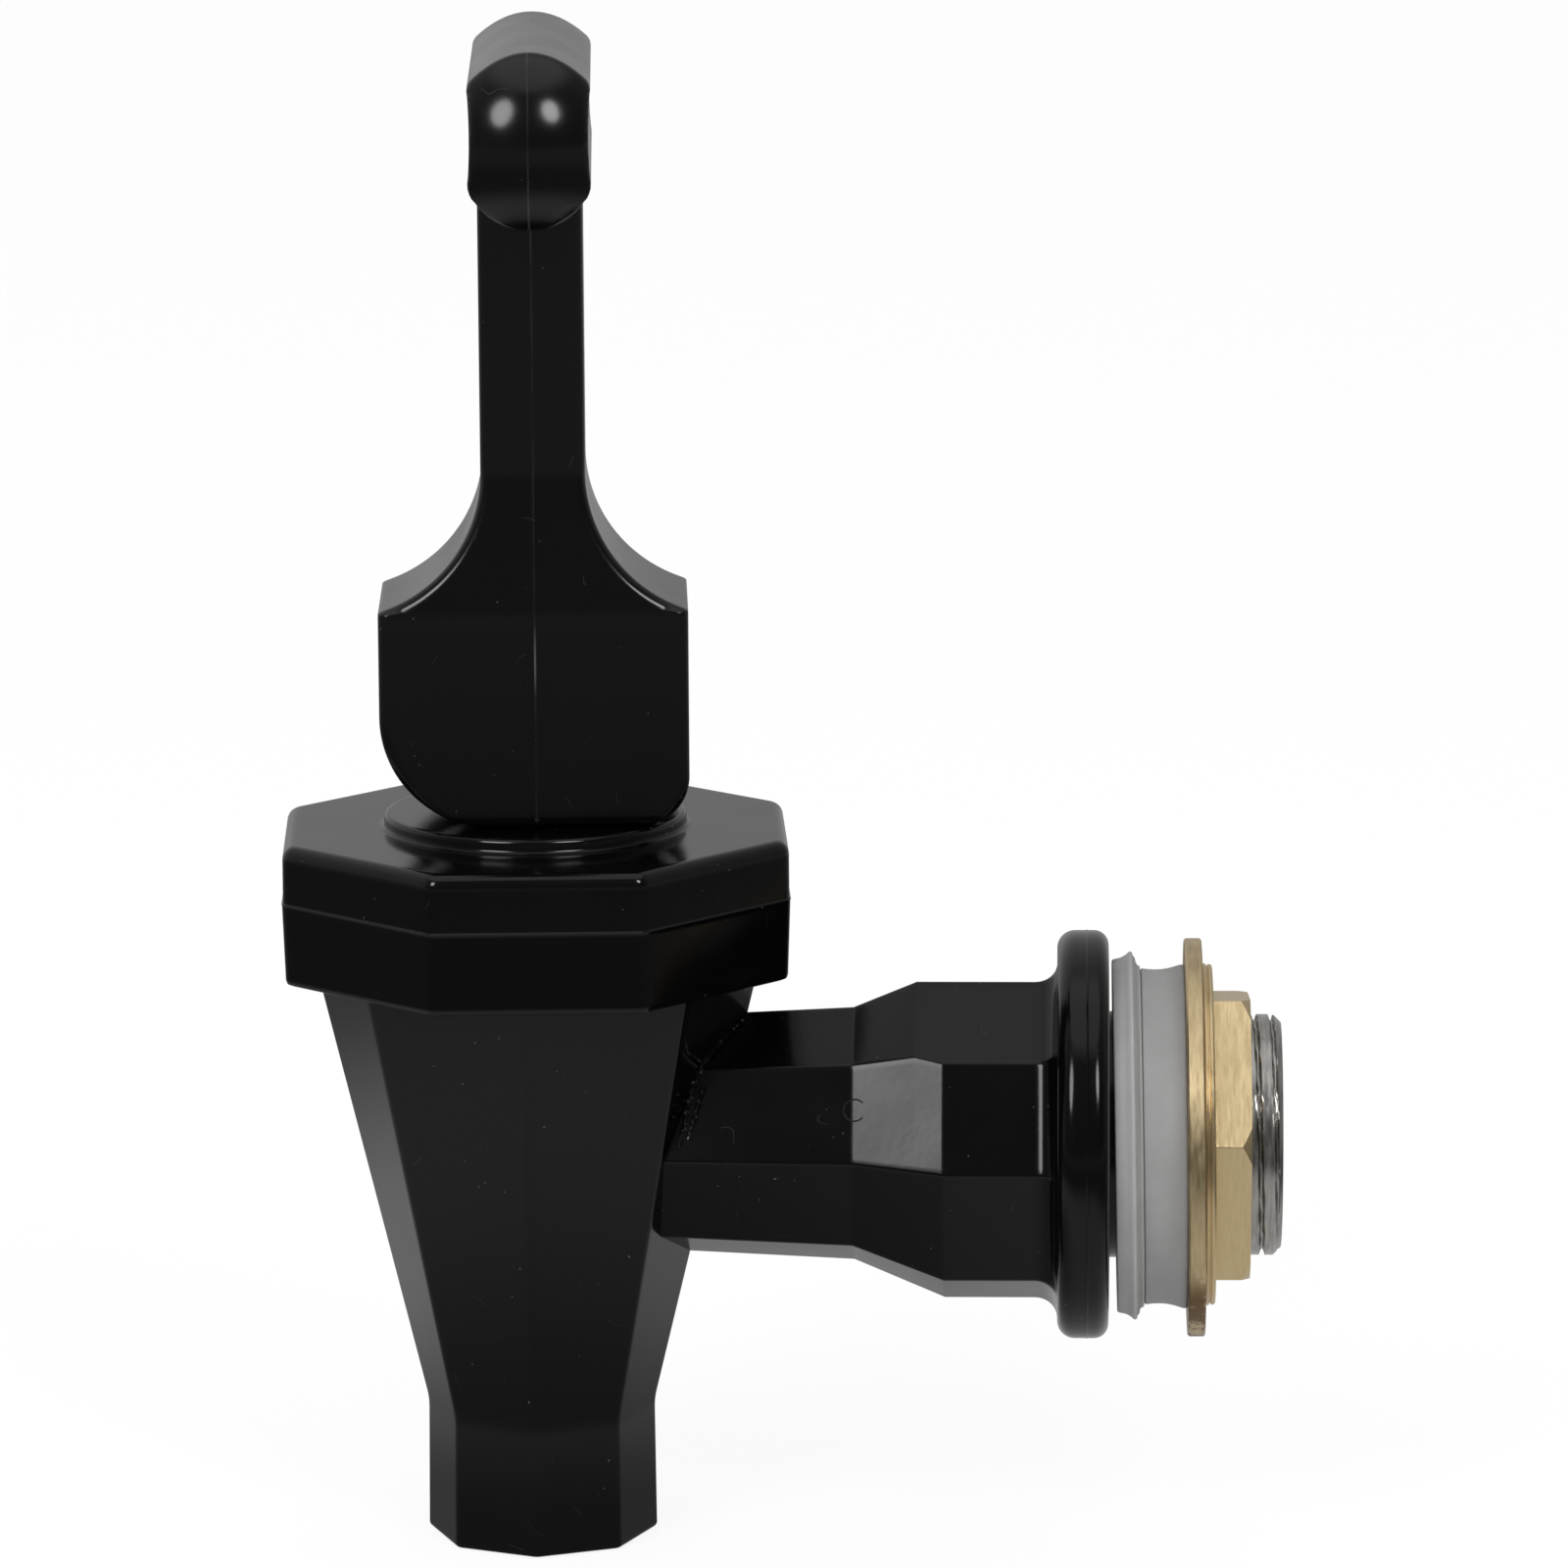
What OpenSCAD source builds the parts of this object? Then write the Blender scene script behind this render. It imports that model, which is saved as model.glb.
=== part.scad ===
// Self closing dispenser tap, in millimetres.
// The origin is the centre of the flange's back face, on the axis of the shank.
// +X runs along the shank into the vessel, +Z is up, and the outlet points along -Z.
// The valve stands upright in front of the flange, on its own axis at x = -valve_reach.

/* [Overall] */
// Distance from the valve axis to the back face of the flange
valve_reach = 51.45; // [48:0.05:60]
// How far the bonnet is turned on its thread, seen from above
bonnet_turn = 3.6; // [-20:0.1:20]
// How far the handle is swivelled from the line of the shank
handle_turn = 3; // [-20:0.1:20]

/* [Housing] */
// Corner radius of the eight sided body under the bonnet
body_top_r = 20.15; // [19.8:0.01:22]
// Height at which the body meets the bonnet
body_top_z = 15.92; // [15:0.01:18]
// Corner radius at the knee, where the body turns into the spout
knee_r = 10.34; // [10:0.01:11]
// Height of the knee
knee_z = -24.8; // [-27:0.1:-22]
// Corner radius at the open end of the spout
spout_r = 10.46; // [10.2:0.01:12]
// Height of the open end of the spout
spout_z = -36.9; // [-50:0.1:-34]
// Radius of the outlet bore
outlet_r = 7.6; // [6.5:0.1:7.8]
// Radius of the port that the seat cup closes
port_r = 6.6; // [5:0.1:6.8]
// Height of the seat's lip
seat_z = -7; // [-8:0.1:-5]
// Height of the seat's lip above the chamber's floor
seat_lip_h = 1.2; // [0.5:0.1:2]
// Radius of the valve chamber
chamber_r = 11.6; // [11:0.1:12]
// Radius of the neck that the bonnet screws on to
neck_r = 18.2; // [17.8:0.1:18.4]
// Height of the top of the neck
neck_z = 22.4; // [21:0.1:23]

/* [Inlet tube] */
// Corner radius of the tube, taken back to the valve axis
tube_start_r = 10.3; // [10:0.01:11]
// Corner radius of the tube where it starts to widen
tube_end_r = 11.73; // [11:0.01:12.5]
// Distance before the flange's back face at which the tube starts to widen
widen_from = 22.95; // [21:0.05:25]
// Distance before the back face at which the sides are fully wide
widen_to = 14.75; // [13:0.05:16]
// Distance before the back face at which the top ridge has levelled out
ridge_to = 17.25; // [17:0.05:20]
// Height of the wide section's top ridge
wide_top_z = 14.12; // [13:0.01:15]
// Depth of the wide section's bottom ridge
wide_bottom_z = -15.28; // [-16:0.01:-14]
// Half width of the wide section at its side ridges
wide_side_y = 13.5; // [13:0.1:14.5]
// Height of the wide section's side ridges
wide_side_z = -0.58; // [-1:0.01:0.5]
// Half width of the wide section at its two upper slanting ridges
wide_high_y = 9.6; // [8:0.05:11]
// Height of the upper slanting ridges
wide_high_z = 8.75; // [8:0.05:11]
// Half width of the wide section at its two lower slanting ridges
wide_low_y = 9.05; // [8:0.05:11]
// Height of the lower slanting ridges
wide_low_z = -11.3; // [-12:0.05:-9]
// Half width of the top facets where the top ridge has levelled out
crest_y = 8.95; // [8:0.05:10]
// Height of the lower edge of the top facets at that place
crest_z = 9.2; // [8:0.05:11]
// Radius of the water way through the tube
way_r = 7.4; // [6.5:0.1:7.6]

/* [Flange and shank] */
// Radius of the flange
flange_r = 18.4; // [17:0.1:24]
// Thickness of the flange
flange_t = 4.61; // [4:0.01:6]
// Rounding of the flange's front rim
flange_front_edge = 2.3; // [1:0.1:2.6]
// Rounding of the flange's back rim
flange_back_edge = 1.5; // [0.5:0.1:1.8]
// Radius of the moulded stub behind the flange
stub_r = 11.1; // [11.05:0.01:11.2]
// Length of the stub behind the flange
stub_len = 4.55; // [3:0.05:6]
// Outside radius of the metal shank's thread
thread_r = 11; // [10.5:0.01:11]
// Radius of the thread at the middle of its depth, where the nut holds it
thread_mid_r = 10.6; // [10.2:0.05:10.8]
// Length of the shank from the back face of the flange to its free end
shank_len = 15.5; // [14.5:0.1:40]
// Chamfer at the shank's free end
shank_chamfer = 0.5; // [0.2:0.05:0.8]
// Outside radius of the shank's spigot, moulded into the housing
spigot_r = 9.4; // [9:0.1:9.8]
// How far the spigot reaches into the housing, before the back face
spigot_len = 5.45; // [3:0.05:8]
// Radius of the shank's bore
inlet_r = 7.8; // [7.7:0.05:8.2]

/* [Gaskets, washer and nut] */
// Distance from the flange to the flange gasket
gasket_gap = 0.25; // [0:0.01:0.4]
// Thickness of the flange gasket
lip_gasket_t = 2.32; // [1.5:0.01:4]
// Radius of the flange gasket's body
lip_gasket_r = 16; // [14:0.05:17]
// Radius of the flange gasket's lip
lip_r = 16.6; // [16:0.05:18]
// Thickness of the wall gasket
wall_gasket_t = 4.15; // [2:0.01:6]
// Radius of the wall gasket at its flange end
wall_gasket_r1 = 15.15; // [14:0.05:17]
// Radius of the wall gasket at its nut end
wall_gasket_r2 = 15.5; // [14:0.05:17]
// Thickness of the washer
washer_t = 1.55; // [1:0.01:2]
// Radius of the washer
washer_r = 17.95; // [17:0.05:20]
// Thickness of the nut's round step
nut_step_t = 1.18; // [0.8:0.01:2]
// Radius of the nut's round step
nut_step_r = 15.4; // [15:0.05:17]
// Thickness of the nut's hexagon
nut_hex_t = 3.2; // [3:0.01:6]
// Size of the nut across its flats
nut_af = 25; // [24:0.1:27]
// How far the nut is turned on the thread
nut_turn = 9.1; // [0:0.1:60]

/* [Bonnet] */
// Size across the flats at the bonnet's lower edge
bonnet_low_af = 44.7; // [43:0.01:48]
// Size across the flats at the mould line
bonnet_mid_af = 45.2; // [43:0.01:48]
// Size across the flats at the top
bonnet_top_af = 44.97; // [43:0.01:48]
// Height of the mould line
bonnet_mid_z = 23.3; // [21:0.1:25]
// Height of the bonnet's top face
bonnet_top_z = 28.55; // [28:0.01:31]
// Rounding of the edge round the top face
bonnet_edge = 1.05; // [0.5:0.05:2]
// Radius of the round boss on which the handle stands
boss_r = 13.58; // [12:0.01:15]
// Height of the boss
boss_z = 29.83; // [29.4:0.01:32]
// Rounding of the boss's rim
boss_edge = 0.4; // [0.2:0.05:1]

/* [Handle] */
// How far the block reaches to the front of the stem
block_front = 13.65; // [12:0.05:16]
// How far the block reaches to the back of the stem
block_back = 13.8; // [12:0.05:16]
// Half depth of the block, across the handle
block_half_y = 8.9; // [8:0.1:11]
// Height at which the hollow flares would level out over the block
shoulder_z = 48.8; // [47:0.1:52]
// Rounding of the block's lower front corner, the cam that lifts the stem
cam_r = 10; // [9:0.1:11.5]
// Rounding of the block's lower back corner
heel_r = 4.5; // [3:0.1:6]
// Radius of the hollow flares between the block and the neck
flare_r = 12.8; // [9:0.1:14]
// How far the neck reaches to the front
neck_front = 4.46; // [4:0.02:6]
// How far the neck reaches to the back
neck_back = 4.81; // [4:0.02:6]
// Half depth of the neck
neck_half_y = 7.4; // [6:0.1:9]
// Half width of the cross bar, front to back
bar_half_x = 5.34; // [5:0.02:7]
// How far the cross bar's middle lies behind the stem's axis
bar_offset = 0.27; // [0:0.01:0.5]
// Height of the cross bar's ridge
bar_top_z = 99.85; // [90:0.05:105]
// Height of the bottom of the cross bar's bowed underside
bar_bottom_z = 84.5; // [70:0.1:90]
// Rise of the arch across the top of the bar
bar_arch = 2.75; // [1:0.05:4]
// Depth of the bow across the underside of the bar
bar_bow = 3.8; // [1:0.05:4]
// Radius of the bar's two domed ends
dome_r = 9.5; // [9:0.1:12]
// Distance from the handle's middle to the centre of each dome
dome_y = 12.2; // [8:0.1:16]
// How far the domes' centres lie below the middle of the bar's height
dome_drop = 0.6; // [0:0.1:2]

/* [Stem, pin and spring] */
// Radius of the stem
stem_r = 3.6; // [3:0.05:4]
// Height of the pivot above the underside of the block
pivot_h = 8.3; // [8:0.1:10]
// Radius of the pivot pin
pin_r = 1.6; // [1.2:0.05:2]
// Radius of the stem's collar, which carries the spring
collar_r = 6.9; // [6.6:0.05:7.4]
// Thickness of the collar
collar_t = 1.5; // [1:0.1:3]
// Radius of the stem's button, held in the seat cup
button_r = 4.2; // [3.8:0.1:5]
// Thickness of the button
button_t = 1.4; // [1:0.1:1.6]
// Radius of the spring, to the middle of its wire
spring_r = 5.9; // [5.4:0.05:6.2]
// Thickness of the spring's wire
wire_d = 1.3; // [0.8:0.05:1.6]
// Turns of the spring, its closed end turns included
spring_turns = 8; // [6:1:10]

/* [Seat cup] */
// Outside radius of the cup at its closed end
cup_low_r = 8.9; // [8:0.1:9.4]
// Outside radius of the cup under its rim
cup_top_r = 9.8; // [9:0.1:10.5]
// Thickness of the cup's wall
cup_wall = 1.2; // [0.8:0.1:1.6]
// Thickness of the cup's rim
cup_rim_t = 1.5; // [1:0.1:2]
// Radius of the cup's rim
cup_rim_r = 17.6; // [16:0.1:18]

/* [Fits] */
// Gap round a piece that turns or slides
run_gap = 0.05; // [0.02:0.01:0.1]
// Gap round a piece that is pressed or moulded in place
seat_gap = 0.02; // [0.01:0.01:0.05]
// Gap between a loose ring and the shank
ring_gap = 0.06; // [0.03:0.01:0.2]
// Gap at each side of the stem in the handle's slot
slot_gap = 0.3; // [0.1:0.05:0.6]

/* [Hidden] */
$fn = 96;
eps = 0.01;

flange_front_x = -flange_t;
chamber_floor_z = seat_z - seat_lip_h;

gasket_x = gasket_gap;
wall_gasket_x = gasket_x + lip_gasket_t;
washer_x = wall_gasket_x + wall_gasket_t;
nut_x = washer_x + washer_t;
nut_hex_x = nut_x + nut_step_t;

block_z = boss_z + seat_gap;
pivot_z = block_z + pivot_h;
bar_middle_z = (bar_top_z + bar_bottom_z) / 2;
dome_z = bar_middle_z - dome_drop;
slot_half_x = stem_r + slot_gap;
slot_half_y = stem_r + slot_gap;
pin_blind_y = -block_half_y + 2.4;
pin_head_y = block_half_y - 0.3;

rim_z = neck_z + seat_gap;
rim_top_z = rim_z + cup_rim_t;
ceiling_z = rim_top_z + seat_gap;
pocket_z = bonnet_top_z - 2.5;
pocket_r = cup_top_r - cup_wall;
cup_floor_z = seat_z + 3.6;
button_z = cup_floor_z - button_t - 1;
collar_z = cup_floor_z + seat_gap;
spring_z = collar_z + collar_t + seat_gap;
spring_top_z = pocket_z - seat_gap;

// Radius to the corners of an eight sided prism of a given size across its flats
function oct_corner(af) = af / 2 / cos(22.5);
// Radius of the arc that rises by a height over a half width
function arc_r(half, rise) = (half * half + rise * rise) / (2 * rise);

// Puts what is drawn round the Z axis on the axis of the valve
module on_valve() {
    translate([-valve_reach, 0, 0])
        children();
}

// Lays what is drawn along +Z along +X, from a given x
module along_x(x) {
    translate([x, 0, 0])
        rotate([0, 90, 0])
            children();
}

// Ring or disc along +X, from its bore radius to its outer radius
module ring_x(x, t, r_in, r_out) {
    along_x(x)
        rotate_extrude()
            translate([r_in, 0])
                square([r_out - r_in, t]);
}

// Thin slice of the inlet tube's wide section, grown on all sides by a margin
module wide_slice(x, grow = 0) {
    top = wide_top_z + grow;
    bottom = wide_bottom_z - grow;
    side = wide_side_y + grow;
    high_y = wide_high_y + grow * 0.5;
    high_z = wide_high_z + grow * 0.9;
    low_y = wide_low_y + grow * 0.5;
    low_z = wide_low_z - grow * 0.9;
    translate([x, 0, 0])
        rotate([90, 0, 90])
            linear_extrude(eps)
                polygon([
                    [0, top], [-high_y, high_z], [-side, wide_side_z], [-low_y, low_z],
                    [0, bottom], [low_y, low_z], [side, wide_side_z], [high_y, high_z]
                ]);
}

// Straight stretch of the inlet tube, a slim eight sided cone
module tube_straight() {
    along_x(-valve_reach)
        cylinder(h = valve_reach - widen_from, r1 = tube_start_r, r2 = tube_end_r, $fn = 8);
}

// Stretch in which the tube widens, its top ridge first
module tube_widening() {
    hull() {
        along_x(-widen_from)
            cylinder(h = eps, r = tube_end_r, $fn = 8);
        wide_slice(-widen_to - eps);
        translate([-ridge_to, 0, 0])
            rotate([90, 0, 90])
                linear_extrude(eps)
                    polygon([[0, wide_top_z], [-crest_y, crest_z], [crest_y, crest_z]]);
    }
}

// Wide stretch, with a small flare at its root on the flange
module tube_wide() {
    hull() {
        wide_slice(-widen_to - eps);
        wide_slice(flange_front_x + eps);
    }
    hull() {
        wide_slice(flange_front_x - 1.3);
        wide_slice(flange_front_x, 1.2);
    }
}

// Round flange with two different rim roundings
module flange_disc() {
    along_x(flange_front_x)
        rotate_extrude()
            union() {
                square([flange_r - flange_front_edge, flange_t]);
                translate([0, flange_front_edge])
                    square([flange_r, flange_t - flange_front_edge - flange_back_edge]);
                square([flange_r - flange_front_edge, flange_t]);
                intersection() {
                    translate([flange_r - flange_front_edge, flange_front_edge])
                        circle(r = flange_front_edge);
                    square([flange_r, flange_t]);
                }
                intersection() {
                    translate([flange_r - flange_back_edge, flange_t - flange_back_edge])
                        circle(r = flange_back_edge);
                    square([flange_r, flange_t]);
                }
                translate([0, flange_front_edge])
                    square([flange_r - flange_back_edge, flange_t - flange_front_edge]);
            }
}

// The outside of the housing: body, spout, neck, inlet tube, flange and stub
module housing_outside() {
    on_valve() {
        translate([0, 0, knee_z])
            cylinder(h = body_top_z - knee_z, r1 = knee_r, r2 = body_top_r, $fn = 8);
        translate([0, 0, spout_z])
            cylinder(h = knee_z - spout_z, r1 = spout_r, r2 = knee_r, $fn = 8);
        translate([0, 0, body_top_z - 1])
            cylinder(h = neck_z - body_top_z + 1, r = neck_r);
    }
    tube_straight();
    tube_widening();
    tube_wide();
    flange_disc();
    along_x(-1)
        cylinder(h = stub_len + 1, r = stub_r);
}

// The hollows of the housing: valve chamber, seat, outlet and water way
module housing_inside() {
    on_valve() {
        difference() {
            translate([0, 0, chamber_floor_z])
                cylinder(h = neck_z - chamber_floor_z + 1, r = chamber_r);
            translate([0, 0, chamber_floor_z - 1])
                cylinder(h = seat_lip_h + 1, r = port_r + 1.3);
        }
        translate([0, 0, spout_z - 1])
            cylinder(h = chamber_floor_z - 2.2 - spout_z + 1, r = outlet_r);
        translate([0, 0, chamber_floor_z - 3])
            cylinder(h = seat_lip_h + 4, r = port_r);
    }
    along_x(-valve_reach)
        cylinder(h = valve_reach - spigot_len + eps, r = way_r);
    along_x(-spigot_len - seat_gap)
        cylinder(h = spigot_len + stub_len + 1, r = spigot_r + seat_gap);
}

// One moulding of the body, spout, inlet tube, flange and stub
module housing() {
    color([0.07, 0.07, 0.075])
        difference() {
            housing_outside();
            housing_inside();
        }
}

// Stainless shank: spigot inside the housing, thread under the nut and free end
module threaded_shank() {
    shoulder = spigot_len + stub_len + seat_gap;
    free_end = spigot_len + nut_hex_x + nut_hex_t + 2 * run_gap;
    end = spigot_len + shank_len;
    color([0.72, 0.72, 0.7])
        along_x(-spigot_len)
            rotate_extrude()
                polygon([
                    [inlet_r, 0],
                    [spigot_r, 0],
                    [spigot_r, shoulder],
                    [thread_mid_r, shoulder],
                    [thread_mid_r, free_end],
                    [thread_r, free_end],
                    [thread_r, end - shank_chamfer],
                    [thread_r - shank_chamfer, end],
                    [inlet_r, end]
                ]);
}

// Grey gasket with a turned out lip, which faces the flange
module flange_gasket() {
    bore = stub_r + ring_gap;
    color([0.5, 0.5, 0.5])
        along_x(gasket_x)
            rotate_extrude()
                polygon([
                    [bore, 0],
                    [lip_gasket_r, 0],
                    [lip_r - 0.35, lip_gasket_t - 1.15],
                    [lip_r, lip_gasket_t - 0.75],
                    [lip_r - 0.3, lip_gasket_t - 0.4],
                    [lip_gasket_r - 0.4, lip_gasket_t],
                    [bore, lip_gasket_t]
                ]);
}

// Thick grey gasket, slightly waisted, which faces the nut
module wall_gasket() {
    bore = stub_r + ring_gap;
    color([0.55, 0.55, 0.55])
        along_x(wall_gasket_x)
            rotate_extrude()
                polygon([
                    [bore, 0],
                    [wall_gasket_r1, 0],
                    [wall_gasket_r1 - 0.15, 0.6],
                    [(wall_gasket_r1 + wall_gasket_r2) / 2 - 0.25, wall_gasket_t / 2],
                    [wall_gasket_r2, wall_gasket_t - 0.4],
                    [wall_gasket_r2, wall_gasket_t],
                    [bore, wall_gasket_t]
                ]);
}

// Flat brass washer
module washer() {
    color([0.78, 0.6, 0.3])
        ring_x(washer_x, washer_t, thread_r + ring_gap, washer_r);
}

// Brass nut with a round step and a hexagon with chamfered corners
module lock_nut() {
    corner_r = nut_af / 2 / cos(30);
    chamfer = 1.1;
    color([0.8, 0.62, 0.32])
        difference() {
            union() {
                along_x(nut_x)
                    cylinder(h = nut_step_t, r = nut_step_r);
                intersection() {
                    rotate([-nut_turn, 0, 0])
                        along_x(nut_hex_x - 0.1)
                            rotate([0, 0, 90])
                                cylinder(h = nut_hex_t + 0.1, r = corner_r, $fn = 6);
                    along_x(nut_hex_x - 0.2)
                        cylinder(h = nut_hex_t + 0.2, r1 = corner_r + nut_hex_t + 0.2 - chamfer,
                                 r2 = corner_r - chamfer);
                }
            }
            along_x(nut_x - 1)
                cylinder(h = nut_step_t + nut_hex_t + 2, r = thread_mid_r + run_gap);
        }
}

// Eight sided cap over the valve, with the boss that carries the handle
module bonnet_outside() {
    low_r = oct_corner(bonnet_low_af);
    mid_r = oct_corner(bonnet_mid_af);
    top_r = oct_corner(bonnet_top_af);
    edge_z = bonnet_top_z - bonnet_edge;
    rotate([0, 0, 22.5 + bonnet_turn]) {
        translate([0, 0, body_top_z + seat_gap])
            cylinder(h = bonnet_mid_z - body_top_z - seat_gap, r1 = low_r, r2 = mid_r, $fn = 8);
        translate([0, 0, bonnet_mid_z])
            cylinder(h = edge_z - bonnet_mid_z, r1 = mid_r, r2 = top_r, $fn = 8);
        translate([0, 0, edge_z])
            cylinder(h = bonnet_edge * 0.7, r1 = top_r, r2 = top_r - bonnet_edge * 0.3, $fn = 8);
        translate([0, 0, edge_z + bonnet_edge * 0.7])
            cylinder(h = bonnet_edge * 0.3, r1 = top_r - bonnet_edge * 0.3,
                     r2 = top_r - bonnet_edge, $fn = 8);
    }
    rotate_extrude()
        union() {
            translate([0, bonnet_top_z - 1])
                square([boss_r, boss_z - boss_edge - bonnet_top_z + 1]);
            translate([0, bonnet_top_z - 1])
                square([boss_r - boss_edge, boss_z - bonnet_top_z + 1]);
            intersection() {
                translate([boss_r - boss_edge, boss_z - boss_edge])
                    circle(r = boss_edge);
                translate([0, bonnet_top_z])
                    square([boss_r, boss_z - bonnet_top_z]);
            }
        }
}

// The cap with its thread space, the ceiling over the cup's rim and the stem guide
module bonnet() {
    color([0.09, 0.09, 0.095])
        on_valve()
            difference() {
                bonnet_outside();
                translate([0, 0, body_top_z - 1])
                    cylinder(h = ceiling_z - body_top_z + 1, r = neck_r + run_gap);
                translate([0, 0, ceiling_z - 1])
                    cylinder(h = pocket_z - ceiling_z + 1, r = pocket_r);
                translate([0, 0, pocket_z - 1])
                    cylinder(h = boss_z - pocket_z + 2, r = stem_r + run_gap);
            }
}

// Rubber cup: its rim is clamped under the bonnet and its closed end shuts the port
module seat_cup() {
    color([0.85, 0.85, 0.83])
        on_valve()
            rotate_extrude()
                difference() {
                    union() {
                        polygon([
                            [0, seat_z], [cup_low_r - 0.8, seat_z], [cup_low_r, seat_z + 0.8],
                            [cup_low_r, cup_floor_z], [cup_top_r, rim_z], [0, rim_z]
                        ]);
                        translate([0, rim_z])
                            square([cup_rim_r, cup_rim_t]);
                    }
                    polygon([
                        [0, cup_floor_z], [cup_low_r - cup_wall, cup_floor_z],
                        [pocket_r, rim_z], [pocket_r, rim_top_z + 1], [0, rim_top_z + 1]
                    ]);
                    translate([0, button_z - seat_gap])
                        square([button_r + seat_gap, button_t + 2 * seat_gap]);
                    translate([0, button_z])
                        square([button_r / 2 + seat_gap, cup_floor_z - button_z + 1]);
                }
}

// Turned stem: button in the cup, collar under the spring and eye for the pin
module stem() {
    color([0.9, 0.9, 0.88])
        on_valve()
            rotate([0, 0, handle_turn])
                difference() {
                    union() {
                        translate([0, 0, button_z])
                            cylinder(h = button_t, r = button_r);
                        translate([0, 0, button_z])
                            cylinder(h = collar_z - button_z + 1, r = button_r / 2);
                        translate([0, 0, collar_z])
                            cylinder(h = collar_t, r = collar_r);
                        translate([0, 0, collar_z])
                            cylinder(h = pivot_z - collar_z, r = stem_r);
                        translate([0, 0, pivot_z])
                            sphere(r = stem_r);
                    }
                    translate([0, 0, pivot_z])
                        rotate([90, 0, 0])
                            cylinder(h = 4 * stem_r, r = pin_r + run_gap, center = true);
                }
}

// Steel pin, pressed into the handle from its far side
module pivot_pin() {
    color([0.75, 0.75, 0.76])
        on_valve()
            rotate([0, 0, handle_turn])
                translate([0, pin_head_y, pivot_z])
                    rotate([90, 0, 0])
                        cylinder(h = pin_head_y - pin_blind_y, r = pin_r);
}

// Height of the spring's wire after a share t of its length, with closed end turns
function spring_height(t) =
    let (
        turn = t * spring_turns,
        free = spring_top_z - spring_z - wire_d,
        open_turns = spring_turns - 2,
        rise = free - 2 * wire_d
    )
    turn < 1 ? turn * wire_d :
    turn > spring_turns - 1 ? free - (spring_turns - turn) * wire_d :
    wire_d + (turn - 1) / open_turns * rise;

// Compression spring round the stem, between the collar and the bonnet
module return_spring() {
    steps_per_turn = 24;
    sides = 8;
    steps = spring_turns * steps_per_turn;
    wire_pts = [
        for (i = [0:steps], j = [0:sides - 1])
            let (
                a = i * 360 / steps_per_turn,
                b = j * 360 / sides,
                r = spring_r + wire_d / 2 * cos(b),
                z = spring_z + wire_d / 2 + spring_height(i / steps) + wire_d / 2 * sin(b)
            )
            [r * cos(a), r * sin(a), z]
    ];
    ends = [
        [for (j = [0:sides - 1]) j],
        [for (j = [sides - 1:-1:0]) steps * sides + j]
    ];
    walls = [
        for (i = [0:steps - 1], j = [0:sides - 1])
            let (k = (j + 1) % sides)
            [i * sides + j, (i + 1) * sides + j, (i + 1) * sides + k, i * sides + k]
    ];
    color([0.7, 0.7, 0.7])
        on_valve()
            polyhedron(points = wire_pts, faces = concat(ends, walls));
}

// Hollow flare between a shoulder and the neck, drawn to the right of the neck's side
module flare(neck_x) {
    overlap = 0.04;
    difference() {
        translate([neck_x - 1, shoulder_z - 1])
            square([flare_r + 1, flare_r + 1]);
        translate([neck_x + flare_r - overlap, shoulder_z + flare_r - overlap])
            circle(r = flare_r);
    }
}

// The block, flares and neck seen from the side
module lever_side() {
    translate([-block_front, block_z + cam_r])
        square([block_front + block_back, shoulder_z - block_z - cam_r]);
    translate([-block_front + cam_r, block_z])
        square([block_front - cam_r + block_back - heel_r, cam_r + 1]);
    translate([0, block_z + heel_r])
        square([block_back, cam_r]);
    translate([-block_front + cam_r, block_z + cam_r])
        circle(r = cam_r);
    translate([block_back - heel_r, block_z + heel_r])
        circle(r = heel_r);
    intersection() {
        union() {
            flare(neck_back);
            mirror([1, 0])
                flare(neck_front);
        }
        translate([-block_front, shoulder_z - 1])
            square([block_front + block_back, flare_r + 1]);
    }
    translate([-neck_front, shoulder_z - 1])
        square([neck_front + neck_back, bar_middle_z - shoulder_z + 1]);
}

// The block and neck seen from the front, where the block tapers into the neck
module lever_front() {
    taper_z = shoulder_z + flare_r;
    polygon([
        [-block_half_y, block_z - 1], [block_half_y, block_z - 1],
        [block_half_y, shoulder_z], [neck_half_y, taper_z], [neck_half_y, bar_middle_z],
        [-neck_half_y, bar_middle_z], [-neck_half_y, taper_z], [-block_half_y, shoulder_z]
    ]);
}

// The cross bar seen from the side: arched top, flat sides and bowed underside
module bar_side() {
    top_r = arc_r(bar_half_x, bar_arch);
    low_r = arc_r(bar_half_x, bar_bow);
    intersection() {
        translate([-bar_half_x, bar_bottom_z - 1])
            square([2 * bar_half_x, bar_top_z - bar_bottom_z + 2]);
        union() {
            translate([0, bar_bottom_z + low_r])
                circle(r = low_r);
            translate([-bar_half_x - 1, bar_bottom_z + low_r])
                square([2 * bar_half_x + 2, bar_top_z - bar_bottom_z]);
        }
        union() {
            translate([0, bar_top_z - top_r])
                circle(r = top_r);
            translate([-bar_half_x - 1, bar_bottom_z - 1])
                square([2 * bar_half_x + 2, bar_top_z - top_r - bar_bottom_z + 1]);
        }
    }
}

// The cross bar, with a domed end on each side of the handle
module cross_bar() {
    translate([bar_offset, 0, 0])
        intersection() {
            rotate([90, 0, 0])
                linear_extrude(2 * (dome_y + dome_r) + 2, center = true)
                    bar_side();
            union() {
                translate([0, 0, dome_z])
                    rotate([90, 0, 0])
                        cylinder(h = 2 * dome_y, r = dome_r, center = true);
                for (side = [-1, 1])
                    translate([0, side * dome_y, dome_z])
                        sphere(r = dome_r);
            }
        }
}

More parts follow.
